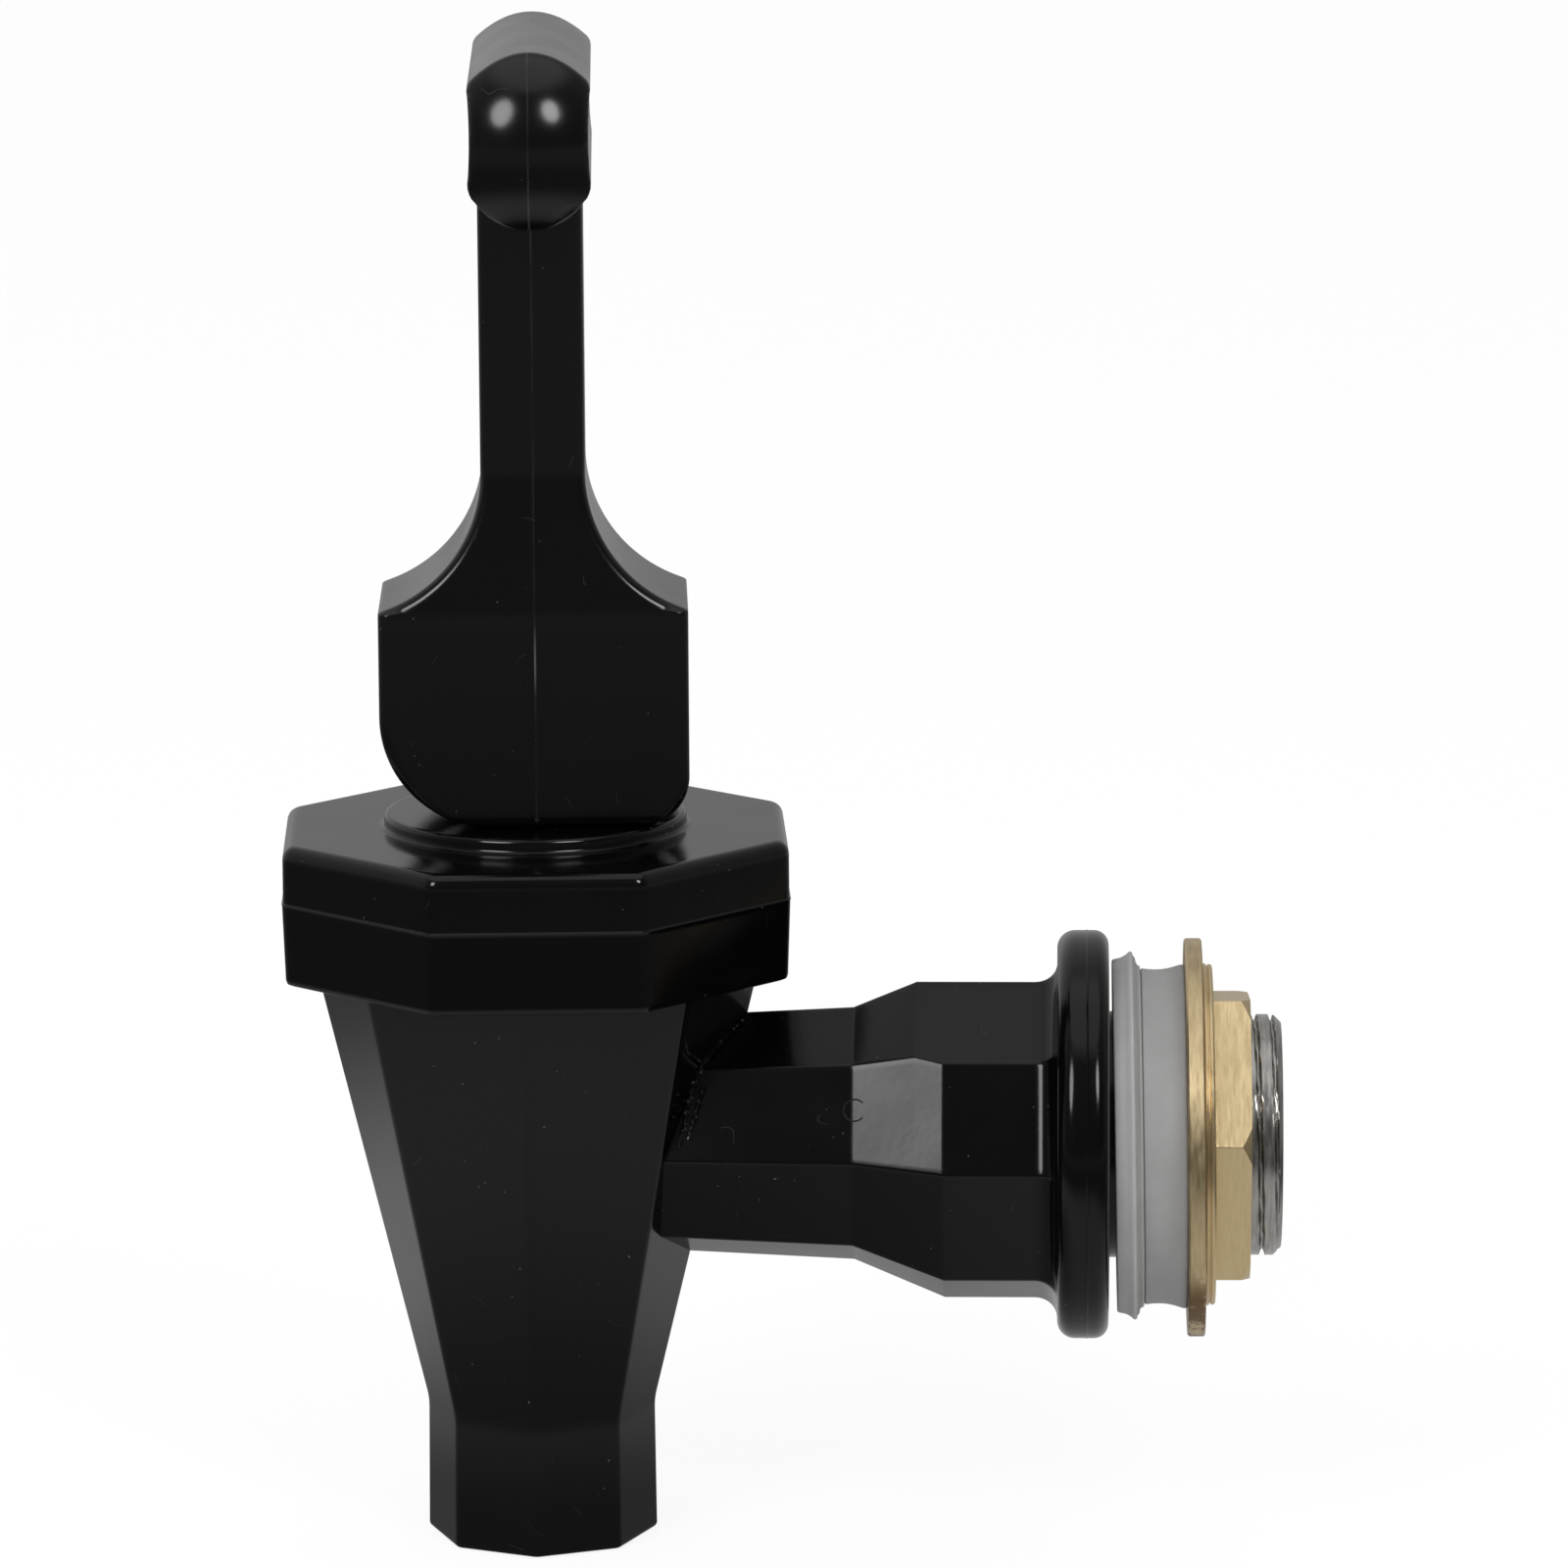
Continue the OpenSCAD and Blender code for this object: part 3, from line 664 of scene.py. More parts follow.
def bar_section():
    """Outline of the cross bar from its end: arched top, waisted sides and bowed underside."""
    top = BAR_TOP_Z - 0.05
    rim_top = BAR_TOP_Z - 2.75
    rim_low = BAR_BOTTOM_Z + 3.8
    arch_x = 5.0
    arch_drop = 2.3
    waist = 0.2
    bow_r = 5.65
    bow_x = 4.75
    half = []
    for i in range(13):
        x = arch_x * i / 12
        half.append((x, top - arch_drop * (x / arch_x) ** 2))
    half += [(5.17, rim_top + 0.15), (5.29, rim_top - 0.1), (BAR_HALF_X, rim_top - 0.5)]
    for i in range(1, 12):
        t = i / 12
        side = BAR_HALF_X - waist * math.sin(math.pi * t) ** 0.7
        half.append((side, rim_top - 0.5 + (rim_low + 0.9 - rim_top) * t))
    half += [(BAR_HALF_X, rim_low + 0.4), (5.31, rim_low - 0.1)]
    half += [(5.18, rim_low - 0.55), (arch_x, rim_low - 0.95)]
    for i in range(11, -1, -1):
        x = bow_x * i / 11
        half.append((x, BAR_BOTTOM_Z + bow_r - math.sqrt(bow_r ** 2 - x ** 2)))
    return half + [(-x, z) for x, z in reversed(half[1:-1])]


def cross_bar(width=1.0, proud=0.0):
    """The cross bar with its two domed ends, or a thin proud slice of it for the mould seam."""
    outline = bar_section()
    angles = [0, 10, 18, 22, 24] + [25 + 1.25 * i for i in range(21)] + [52 + 3 * i for i in range(12)]
    ends = [(DOME_Y * 0.5, DOME_R)]
    for degrees in angles + [87, 88.6]:
        a = math.radians(degrees)
        ends.append((DOME_Y + DOME_R * math.sin(a), DOME_R * math.cos(a)))
    rings = []
    for y, limit in ends:
        ring = []
        for x, z in outline:
            rise = z - DOME_Z
            far = math.hypot(x, rise)
            near = soft_least(far, limit, min(0.1, limit * 0.25)) if y > DOME_Y else far
            share = near / far * (1 + proud / 8)
            ring.append((x * share * width + BAR_OFFSET, -y - proud, DOME_Z + rise * share))
        rings.append(ring)
    rings.reverse()
    mirrored = [[(x, -y, z) for x, y, z in ring] for ring in reversed(rings)]
    return loft(rings + mirrored)


def slot_cutter():
    """The stem's slot, open below and swept to the handle's tilts."""
    reach = BLOCK_FRONT + 4
    outline = [(reach, SLOT_HALF)]
    outline += arc((0, 0), SLOT_HALF, 90, 120, 8)
    tip = math.radians(210)
    outline.append((outline[-1][0] + reach * math.cos(tip), outline[-1][1] + reach * math.sin(tip)))
    outline += [(-reach - 4, -12), (reach, -12)]
    return loft([[(x, y, PIVOT_Z + z) for x, z in outline] for y in (-SLOT_HALF, SLOT_HALF)])


def pin_cutter():
    """The pivot pin's hole, pressed in from the far side and closed at the front."""
    ends = (-BLOCK_HALF_Y + PIN_WALL, BLOCK_HALF_Y + 1)
    return loft([[(x, y, z + PIVOT_Z) for x, z in circle(PIN_R, 48)] for y in ends])


def build_handle(material):
    """One moulding: block with its cam, flares, neck and cross bar, slotted for the stem."""
    place = at_valve(HANDLE_TURN)
    heights = spread([
        (BLOCK_Z, 0.1), (BLOCK_Z + 1.2, 0.3), (BLOCK_Z + 5, 0.5), (BLOCK_Z + 12, 1.0),
        (SHOULDER_Z - 1.5, 0.1), (SHOULDER_Z + 1.5, 0.3), (SHOULDER_Z + FLARE_R + 1, 2.0),
        (BAR_MIDDLE_Z, 1.0),
    ])
    obj = raw_object("handle_lever", loft([level(handle_section(z), z) for z in heights]), place)
    combine(obj, raw_object("bar", cross_bar(), place), "UNION")
    combine(obj, raw_object("bar_seam", cross_bar(0.018, 0.035), place), "UNION")
    combine(obj, raw_object("slot", slot_cutter(), place), "DIFFERENCE")
    combine(obj, raw_object("pin_hole", pin_cutter(), place), "DIFFERENCE")
    dress(obj, "handle", ["handle"], material)


# Bonnet


def bonnet_profile():
    """Points of (radius, height) up the bonnet's inside, round its eight sides and over its boss."""
    low = BONNET_LOW.z
    inside = [
        (STEM_HOLE_R, POCKET_Z), (POCKET_R, POCKET_Z), (POCKET_R, CEILING_Z),
        (NECK_R + NECK_GAP, CEILING_Z), (NECK_R + NECK_GAP, low + 0.3), (NECK_R + 0.3, low),
    ]
    edge = 1.25
    sides = [
        (BONNET_LOW_R - 0.7, low), (BONNET_LOW_R - 0.45, low), (BONNET_LOW_R - 0.13, low + 0.13),
        (BONNET_LOW_R, low + 0.45), (BONNET_LOW_R + 0.01, low + 0.7),
        (BONNET_MID_R - 0.03, BONNET_MID_Z - 0.5), (BONNET_MID_R - 0.02, BONNET_MID_Z - 0.16),
        (BONNET_MID_R + 0.035, BONNET_MID_Z), (BONNET_MID_R - 0.1, BONNET_MID_Z + 0.16),
        (BONNET_MID_R - 0.11, BONNET_MID_Z + 0.5), (BONNET_TOP_R, BONNET_TOP_Z - edge - 0.3),
    ]
    sides += arc((BONNET_TOP_R - edge, BONNET_TOP_Z - edge), edge, 0, 90, 9)
    sides.append((BONNET_TOP_R - edge - 0.3, BONNET_TOP_Z))
    fillet = 0.4
    lip = 0.45
    boss = [(BOSS_R + fillet + 0.3, BONNET_TOP_Z)]
    boss += arc((BOSS_R + fillet, BONNET_TOP_Z + fillet), fillet, 270, 180, 5)
    boss += arc((BOSS_R - lip, BOSS_Z - lip), lip, 0, 90, 6)
    boss += [(BOSS_R - lip - 0.3, BOSS_Z), (STEM_HOLE_R + 0.2, BOSS_Z), (STEM_HOLE_R, BOSS_Z - 0.2)]
    return inside, sides, boss


def build_bonnet(material):
    """Eight sided cap with its mould line, rounded rim, boss and inside."""
    turn = math.pi / 8
    corner = 1.5
    shares = (0.04, 0.2, 0.36, 0.5, 0.64, 0.8, 0.96)
    round_like = octagon(BONNET_MID_R, turn, corner, shares)
    inside, sides, boss = bonnet_profile()
    rings = [level(circle_like(round_like, r), z) for r, z in inside]
    rings += [level(octagon(r, turn, corner, shares), z) for r, z in sides]
    rings += [level(circle_like(round_like, r), z) for r, z in boss]
    obj = raw_object("bonnet_cap", loft(rings, closed=True), at_valve(BONNET_TURN))
    dress(obj, "tap", ["bonnet"], material)


# Housing


def body_shell():
    """Eight sided body and spout, closed at both ends."""
    edge = 0.45
    blend = 0.8
    straight = 0.3
    slope_low = (KNEE_R - SPOUT_R) / (KNEE_Z - SPOUT_Z)
    slope_up = (BODY_TOP_R - KNEE_R) / (BODY_TOP_Z - KNEE_Z)
    profile = arc((SPOUT_R - edge, SPOUT_Z + edge), edge, 270, 360, 5)
    profile.append((SPOUT_R + slope_low * (edge + straight), SPOUT_Z + edge + straight))
    profile.append((KNEE_R - slope_low * (blend + straight), KNEE_Z - blend - straight))
    for t in (-1, -0.6, -0.2, 0.2, 0.6, 1):
        lift = (slope_up - slope_low) * blend * (1 + t) ** 2 / 4
        profile.append((KNEE_R + slope_low * t * blend + lift, KNEE_Z + t * blend))
    profile.append((KNEE_R + slope_up * (blend + straight), KNEE_Z + blend + straight))
    rings = [level(octagon(r, 0, BODY_EDGE_R), z) for r, z in profile]
    rings.append(level(octagon(BODY_TOP_R, 0, BODY_TOP_EDGE_R), BODY_TOP_Z))
    return loft(rings)


def mixed_points(one, other, share):
    """Points on the way from one outline to another."""
    return [tuple(a + (b - a) * share for a, b in zip(p, q)) for p, q in zip(one, other)]


def tube_outline(x):
    """Corners of the inlet tube across its axis at a place along it."""
    share = min(max((x - VALVE_X) / (WIDEN_FROM - VALVE_X), 0), 1)
    r = TUBE_START_R + (TUBE_END_R - TUBE_START_R) * share
    slim = [(r * math.cos(i * math.pi / 4), r * math.sin(i * math.pi / 4)) for i in range(8)]
    half = [WIDE_SIDE, WIDE_HIGH, (0, WIDE_TOP), WIDE_HIGH, WIDE_SIDE, WIDE_LOW, (0, WIDE_BOTTOM), WIDE_LOW]
    signs = [1, 1, 1, -1, -1, -1, 1, 1]
    wide = [(a * sign, b) for (a, b), sign in zip(half, signs)]
    if x <= WIDEN_FROM:
        return slim
    if x >= WIDEN_TO:
        return wide
    to_crest = (RIDGE_TO - WIDEN_FROM) / (WIDEN_TO - WIDEN_FROM)
    crest = mixed_points(slim, wide, to_crest)
    crest[1] = CREST
    crest[2] = (0, WIDE_TOP)
    crest[3] = (-CREST[0], CREST[1])
    if x <= RIDGE_TO:
        return mixed_points(slim, crest, (x - WIDEN_FROM) / (RIDGE_TO - WIDEN_FROM))
    return mixed_points(crest, wide, (x - RIDGE_TO) / (WIDEN_TO - RIDGE_TO))


def tube_shell():
    """Inlet tube from inside the body to its flared root on the flange."""
    stations = [VALVE_X + 4]
    for bend in (WIDEN_FROM, RIDGE_TO, WIDEN_TO):
        stations += [bend - 0.5, bend - 0.2, bend, bend + 0.2, bend + 0.5]
    root = 2.0
    stations.append(-FLANGE_T - root - 0.3)
    rings = [upright(rounded_polygon(tube_outline(x), TUBE_EDGE_R), x) for x in stations]
    for along, up in arc((0, root), root, 270, 358, 8):
        grown = []
        for a, b in tube_outline(0):
            length = math.hypot(a, b)
            grown.append((a * (length + up) / length, b * (length + up) / length))
        rings.append(upright(rounded_polygon(grown, TUBE_EDGE_R + up), -FLANGE_T - root + along))
    return loft(rings)


def flange_shell():
    """Flange with its two rim roundings, its mould line and the stub behind it."""
    front = 1.6
    back = 1.3
    line_x = -1.95
    profile = [(-FLANGE_T, 4.0)]
    profile += arc((-FLANGE_T + front, FLANGE_R - front), front, 180, 90, 10)
    profile += [(line_x - 0.1, FLANGE_R), (line_x, FLANGE_R + 0.05), (line_x + 0.1, FLANGE_R)]
    profile += arc((-back, FLANGE_R - back), back, 90, 0, 8)
    profile += [(0, STUB_R), (STUB_LEN, STUB_R), (STUB_LEN, 4.0)]
    return revolve(profile, "x", 144)


def valve_cutter():
    """Hollow of the valve: outlet, port, seat and chamber."""
    chamfer = 0.4
    profile = [
        (SPOUT_Z - 1, AXIS_R), (SPOUT_Z - 1, OUTLET_R + chamfer), (SPOUT_Z, OUTLET_R + chamfer),
        (SPOUT_Z + chamfer, OUTLET_R), (PORT_Z, OUTLET_R), (PORT_Z, PORT_R), (SEAT_Z, PORT_R),
        (SEAT_Z, PORT_R + SEAT_WALL), (CHAMBER_FLOOR_Z, PORT_R + SEAT_WALL),
        (CHAMBER_FLOOR_Z, CHAMBER_R), (NECK_Z + 1, CHAMBER_R), (NECK_Z + 1, AXIS_R),
    ]
    return revolve(profile, "z", 96, closed=False)


def way_cutter():
    """Hollow of the inlet tube, wider where the shank's spigot sits."""
    step_x = -SPIGOT_LEN - SPIGOT_GAP
    profile = [
        (VALVE_X, AXIS_R), (VALVE_X, WAY_R), (step_x, WAY_R),
        (step_x, SPIGOT_R), (STUB_LEN + 1, SPIGOT_R), (STUB_LEN + 1, AXIS_R),
    ]
    return revolve(profile, "x", 96, closed=False)


def bead(path, radius):
    """A lumpy bead of plastic along a path of points."""
    step = 0.22
    places = []
    for start, end in zip(path, path[1:]):
        a = Vector(start)
        b = Vector(end)
        count = max(1, round((b - a).length / step))
        places += [(a.lerp(b, i / count), (b - a).normalized()) for i in range(count)]
    rings = []
    for i, (at, ahead) in enumerate(places):
        side = ahead.cross(Vector((0, 1, 0))).normalized()
        out = side.cross(ahead)
        thick = radius * (1 + 0.4 * math.sin(7.3 * i) + 0.3 * math.sin(2.9 * i + 1))
        rings.append(hoop(at, side, out, thick, 8))
    return loft(rings)


def gate_mark():
    """Fine ring where the plastic entered the mould, on the tube's upper front facet."""
    out = Vector(GATE_OUT).normalized()
    side = out.cross(Vector((0, 0, 1))).normalized()
    up = side.cross(out)
    sunk = -0.4
    proud = 0.05
    inner_r = GATE_R - 0.14
    rings = []
    for depth, r in ((sunk, GATE_R), (proud, GATE_R), (proud, inner_r), (sunk, inner_r)):
        rings.append(hoop(Vector(GATE_AT) + out * depth, side, up, r, 40))
    return loft(rings, closed=True)


def build_housing(material):
    """One moulding of the body, spout, neck, inlet tube, flange and stub."""
    valve = at_valve()
    obj = raw_object("housing_moulding", body_shell(), valve)
    low = BODY_TOP_Z - 1
    neck = [(low, AXIS_R), (low, NECK_R), (NECK_Z, NECK_R), (NECK_Z, AXIS_R)]
    combine(obj, raw_object("neck", revolve(neck, "z", 96, closed=False), valve), "UNION")
    combine(obj, raw_object("tube", tube_shell()), "UNION")
    combine(obj, raw_object("flange", flange_shell()), "UNION")
    combine(obj, raw_object("valve_hollow", valve_cutter(), valve), "DIFFERENCE")
    combine(obj, raw_object("way_hollow", way_cutter()), "DIFFERENCE")
    for path, radius in ((BEAD_MAIN, 0.2), (BEAD_SIDE, 0.17), (BEAD_BRANCH, 0.12)):
        sink(obj, raw_object("bead", bead(path, radius)))
    sink(obj, raw_object("gate", gate_mark()))
    dress(obj, "tap", ["housing"], material, 25)


# Shank, gaskets, washer and nut


def thread_wave(turns):
    """Depth of a thread's groove, from 0 on its crest to 1 at its root."""
    groove = 0.32
    flank = 0.2
    t = turns - math.floor(turns)
    ridge = abs(t - 0.5) * 2
    return min(max((groove - ridge) / flank, 0), 1)


def thread_rings(start, steps):
    """Rings of the shank's outside, with its thread and its chamfered end."""
    chamfer = 0.7
    spacing = 0.09
    count = round((SHANK_END - start) / spacing)
    rings = []
    for i in range(count + 1):
        x = start + (SHANK_END - start) * i / count
        limit = THREAD_CREST_R - max(0, x - (SHANK_END - chamfer))
        ring = []
        for j, (a, b) in enumerate(circle(1, steps)):
            groove = THREAD_DEPTH * thread_wave(x / THREAD_PITCH - j / steps)
            r = min(THREAD_CREST_R - groove, limit)
            ring.append((x, r * a, r * b))
        rings.append(ring)
    return rings


def build_shank(material):
    """Stainless shank with its thread, bore and spigot."""
    steps = 120
    start = STUB_LEN + SPIGOT_GAP
    spigot_r = SPIGOT_R - SPIGOT_GAP
    profile = [
        (SHANK_END, INLET_R + 0.3), (SHANK_END - 0.3, INLET_R), (SHANK_LOW.x, INLET_R),
        (SHANK_LOW.x, spigot_r), (start, spigot_r),
    ]
    rings = thread_rings(start, steps) + [upright(circle(r, steps), x) for x, r in profile]
    obj = raw_object("shank_thread", loft(rings, closed=True))
    dress(obj, "tap", ["threaded_shank"], material)


def lean(obj, drop, lean_low, lean_high):
    """Lets a ring sag, and lean by two slopes at its flange end and its nut end."""
    low = min(v.co.x for v in obj.data.vertices)
    high = max(v.co.x for v in obj.data.vertices)
    for vertex in obj.data.vertices:
        share = (vertex.co.x - low) / (high - low)
        slope = lean_low + (lean_high - lean_low) * share
        vertex.co.x += slope * (-vertex.co.z)
        vertex.co.z -= drop * MM


def build_lip_gasket(material):
    """Grey gasket with its turned out lip and the fold lines across it."""
    x0 = LIP_LOW.x + 0.3
    x1 = LIP_END
    bore = STUB_R + RING_BORE_GAP
    root_r = 15.45
    profile = [(x0 + 0.1, bore), (x0, bore + 0.1), (x0, 15.5)]
    profile += arc((x0 + 0.2, 15.72), 0.2, 180, 100, 4)
    profile += [(x0 + 0.8, 16.05), (x0 + 1.25, 16.3)]
    profile += arc((x0 + 1.62, 16.36), 0.22, 110, -20, 6)
    profile += [(x1 - 0.42, 16.0), (x1 - 0.36, 15.65), (x1 - 0.2, 15.42), (x1, 15.36), (x1, bore + 0.1)]
    profile.append((x1 - 0.1, bore))

    def ripple(along, radius, a):
        """Fold lines on the turned out lip."""
        if radius < root_r:
            return 0
        return 0.06 * math.sin(5 * a + 1.0) + 0.03 * math.sin(13 * a + along)

    obj = raw_object("lip_ring", revolve(profile, "x", 200, ripple=ripple))
    lean(obj, GASKET_SAG, LIP_LEAN, WALL_LEAN)
    dress(obj, "tap", ["flange_gasket"], material, 40)


def build_wall_gasket(material):
    """Thick grey gasket, waisted, with a small raised edge at each side."""
    x0 = LIP_END
    x1 = WALL_END
    bore = STUB_R + RING_BORE_GAP
    profile = [(x0 + 0.1, bore), (x0, bore + 0.1), (x0, 14.9)]
    profile += arc((x0 + 0.25, 14.9), 0.25, 180, 90, 4)
    for i in range(9):
        t = i / 8
        waist = 0.2 * math.sin(math.pi * t)
        profile.append((x0 + 0.5 + (x1 - x0 - 0.9) * t, 15.1 + 0.38 * t - waist))
    profile += arc((x1 - 0.22, 15.27), 0.22, 80, 0, 4)
    profile += [(x1, bore + 0.1), (x1 - 0.1, bore)]
    obj = raw_object("wall_ring", revolve(profile, "x", 160))
    lean(obj, GASKET_SAG, WALL_LEAN, RING_LEAN)
    dress(obj, "tap", ["wall_gasket"], material, 40)


def build_washer(material):
    """Flat brass washer with slightly broken edges."""
    x0 = WALL_END
    x1 = WASHER_END
    r = WASHER_HIGH.y
    edge = 0.15
    bore = THREAD_R + RING_BORE_GAP
    profile = [(x0, bore), (x0, r - edge - 0.3), (x0, r - edge), (x0 + edge, r), (x0 + edge + 0.2, r)]
    profile += [(x1 - edge - 0.2, r), (x1 - edge, r), (x1, r - edge), (x1, r - edge - 0.3), (x1, bore)]
    obj = raw_object("brass_ring", revolve(profile, "x", 200))
    lean(obj, WASHER_SAG, RING_LEAN, RING_LEAN)
    dress(obj, "tap", ["washer"], material)


def nut_step():
    """The nut's round step, with a fine groove round it."""
    x0 = WASHER_END
    low_r = NUT_STEP_R - 0.05
    groove_r = NUT_STEP_R - 0.2
    profile = [
        (x0, AXIS_R), (x0, NUT_STEP_R - 0.12), (x0 + 0.12, NUT_STEP_R), (x0 + 0.36, NUT_STEP_R),
        (x0 + 0.42, groove_r), (x0 + 0.5, groove_r), (x0 + 0.56, low_r),
        (NUT_HEX_X - 0.15, low_r), (NUT_HEX_X, groove_r), (NUT_HEX_X, AXIS_R),
    ]
    step = raw_object("step", revolve(profile, "x", 160, closed=False))
    lean(step, 0.0, RING_LEAN, RING_LEAN)
    return step


def build_nut(material):
    """Brass nut: round step and a hexagon with chamfered corners."""
    x1 = NUT_HIGH.x
    corner_r = NUT_AF / 2 / math.cos(math.pi / 6)
    corners = []
    for i in range(6):
        a = math.pi - NUT_TURN + i * math.pi / 3
        corners.append((corner_r * math.cos(a), corner_r * math.sin(a)))
    hexagon = rounded_polygon(corners, 0.12, 2)
    obj = raw_object("hex_nut", loft([upright(hexagon, NUT_HEX_X - 0.3), upright(hexagon, x1)]))
    chamfer = 0.85
    end_r = corner_r - chamfer
    past_end = x1 + 0.001
    cone = [
        (NUT_HEX_X - 1, AXIS_R), (NUT_HEX_X - 1, end_r + x1 - NUT_HEX_X + 1),
        (past_end, end_r), (past_end, AXIS_R),
    ]
    combine(obj, raw_object("cone", revolve(cone, "x", 192, closed=False)), "INTERSECT")
    combine(obj, nut_step(), "UNION")
    bore = [
        (WASHER_END - 1, AXIS_R), (WASHER_END - 1, THREAD_R), (x1 - 0.3, THREAD_R),
        (x1 + 0.2, THREAD_R + 0.5), (x1 + 0.2, AXIS_R),
    ]
    combine(obj, raw_object("bore", revolve(bore, "x", 96, closed=False)), "DIFFERENCE")
    dress(obj, "tap", ["lock_nut"], material)


# Working parts inside


def build_spring(material):
    """Compression spring round the stem, drawn at its free length."""
    turns = 8
    wire_r = 0.65
    middle_r = SPRING_HIGH.x - VALVE_X - wire_r
    low = SPRING_LOW.z + wire_r
    free = SPRING_HIGH.z - SPRING_LOW.z - 2 * wire_r
    steps = 28
    wire = circle(1, 12)
    rings = []
    for i in range(turns * steps + 1):
        turn = i / steps
        if turn < 1:
            height = turn * 2 * wire_r
        elif turn > turns - 1:
            height = free - (turns - turn) * 2 * wire_r
        else:
            height = 2 * wire_r + (turn - 1) / (turns - 2) * (free - 4 * wire_r)
        a = 2 * math.pi * turn
        ring = []
        for out, up in wire:
            r = middle_r + wire_r * out
            ring.append((r * math.cos(a), r * math.sin(a), low + height + wire_r * up))
        rings.append(ring)
    obj = raw_object("spring_coil", loft(rings), at_valve())
    dress(obj, "spring", ["return_spring"], material, 60)
    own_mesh(obj)


def build_cup(material):
    """Rubber seat cup, drawn resting on the seat; the stem lifts its closed end off the seat."""
    floor_z = SEAT_Z + 3.6
    rim_z = CUP_HIGH.z - 1.5
    rim_r = CUP_HIGH.y
    edge = 0.3
    outer_r = 8.9
    wall = 1.2
    foot_edge = 0.8
    foot_r = 8.1
    stem_r = 2.12
    button_r = 4.22
    button_z = floor_z - 2.4
    pocket_low = button_z - 0.02
    pocket_top = button_z + 1.87
    profile = [(SEAT_Z, AXIS_R), (SEAT_Z, foot_r)]
    profile += arc((SEAT_Z + foot_edge, foot_r), foot_edge, 180, 90, 5)
    profile += [(floor_z, outer_r), (rim_z - 0.6, 9.75), (rim_z, 10.4), (rim_z, rim_r - edge)]
    profile += [(rim_z + edge, rim_r), (CUP_HIGH.z - edge, rim_r), (CUP_HIGH.z, rim_r - edge)]
    profile += [(CUP_HIGH.z, POCKET_R), (floor_z, outer_r - wall)]
    profile += [(floor_z, stem_r), (pocket_top, stem_r), (pocket_top, button_r)]
    profile += [(pocket_low, button_r), (pocket_low, AXIS_R)]
    obj = raw_object("cup_rubber", revolve(profile, "z", 96, closed=False), at_valve())
    dress(obj, "tap", ["seat_cup"], material)
    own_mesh(obj)


def paint_solids(stem_material, pin_material):
    """Materials for the solids that stay as they are."""
    for name, material in (("stem", stem_material), ("pivot_pin", pin_material)):
        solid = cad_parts[name]
        solid.data.materials.clear()
        solid.data.materials.append(material)


# Studio

# What the studio looks like in reflections, where 1 is white
FRONT_LEVEL = 0.1
BACK_LEVEL = 0.45
TOP_LEVEL = 0.8
HIGH_BACK_LEVEL = 0.25
LEFT_SHARE = 1.3
RIGHT_SHARE = 0.65
# How bright the studio is for everything else
FILL_LEVEL = 0.9
FLOOR_Z = HOUSING_LOW.z - 0.1
LAMP_REACH = 1.05
CAMERA_AT = (VALVE_X + 45.96, -731.33, 179.19)


def mirror_rays(owner):
    """Light paths, and 1 for the rays that draw reflections."""
    path = node(owner, "ShaderNodeLightPath")
    return path, maths(owner, "ADD", path.outputs["Is Glossy Ray"], path.outputs["Is Transmission Ray"])


def floor_level(material):
    """How bright the floor is in reflections: in rings round the valve, dim right under it as a painted
    shadow of the tap, and brighter behind it.
    """
    coords = node(material, "ShaderNodeTexCoord")
    away = node(material, "ShaderNodeVectorMath")
    away.operation = "DISTANCE"
    away.inputs[1].default_value = (VALVE_X * MM, 0, FLOOR_Z * MM)
    link(material, coords.outputs["Object"], away.inputs[0])
    reach = away.outputs["Value"]
    # Painted shadow: the floor's mirrored level is dim within a few centimetres of the valve
    near = fade(material, reach, 0.02, 0.07, 0.2, 0.52)
    middle = maths(material, "MULTIPLY", near, fade(material, reach, 0.08, 0.16, 1.0, 0.2))
    front = maths(material, "ADD", middle, fade(material, reach, 0.3, 0.5, 0.0, 0.1))
    rear = fade(material, coordinate(material, "Object", "Y"), 0.0, 0.5, 0.0, 0.2)
    side = fade(material, coordinate(material, "Object", "X"), -0.3, 0.3, 0.95, 1.05)
    return maths(material, "MULTIPLY", maths(material, "ADD", front, rear), side)


def floor_material():
    """Pale floor that looks white, keeps the soft shadow, and mirrors dimly in front of the tap."""
    material, shader = new_material("pale_floor")
    preset(shader, Base_Color=(0.9, 0.9, 0.9, 1), Roughness=0.9, IOR=1.2)
    output = [n for n in material.node_tree.nodes if n.type == "OUTPUT_MATERIAL"][0]
    path, mirror = mirror_rays(material)
    bright = node(material, "ShaderNodeEmission", Strength=1.0)
    seen = node(material, "ShaderNodeMixShader")
    link(material, maths(material, "MULTIPLY", path.outputs["Is Camera Ray"], 0.88), seen.inputs["Fac"])
    link(material, shader.outputs["BSDF"], seen.inputs[1])
    link(material, bright.outputs["Emission"], seen.inputs[2])
    dim = node(material, "ShaderNodeEmission")
    link(material, floor_level(material), dim.inputs["Strength"])
    mirrored = node(material, "ShaderNodeMixShader")
    link(material, mirror, mirrored.inputs["Fac"])
    link(material, seen.outputs["Shader"], mirrored.inputs[1])
    link(material, dim.outputs["Emission"], mirrored.inputs[2])
    link(material, mirrored.outputs["Shader"], output.inputs["Surface"])
    return material


def build_floor():
    """Wide floor just under the spout."""
    size = 6.0
    z = FLOOR_Z * MM
    corners = [(-size, -size, z), (size, -size, z), (size, size, z), (-size, size, z)]
    mesh = bpy.data.meshes.new("floor")
    mesh.from_pydata(corners, [], [(0, 1, 2, 3)])
    mesh.materials.append(floor_material())
    floor = scene_object("floor", mesh)


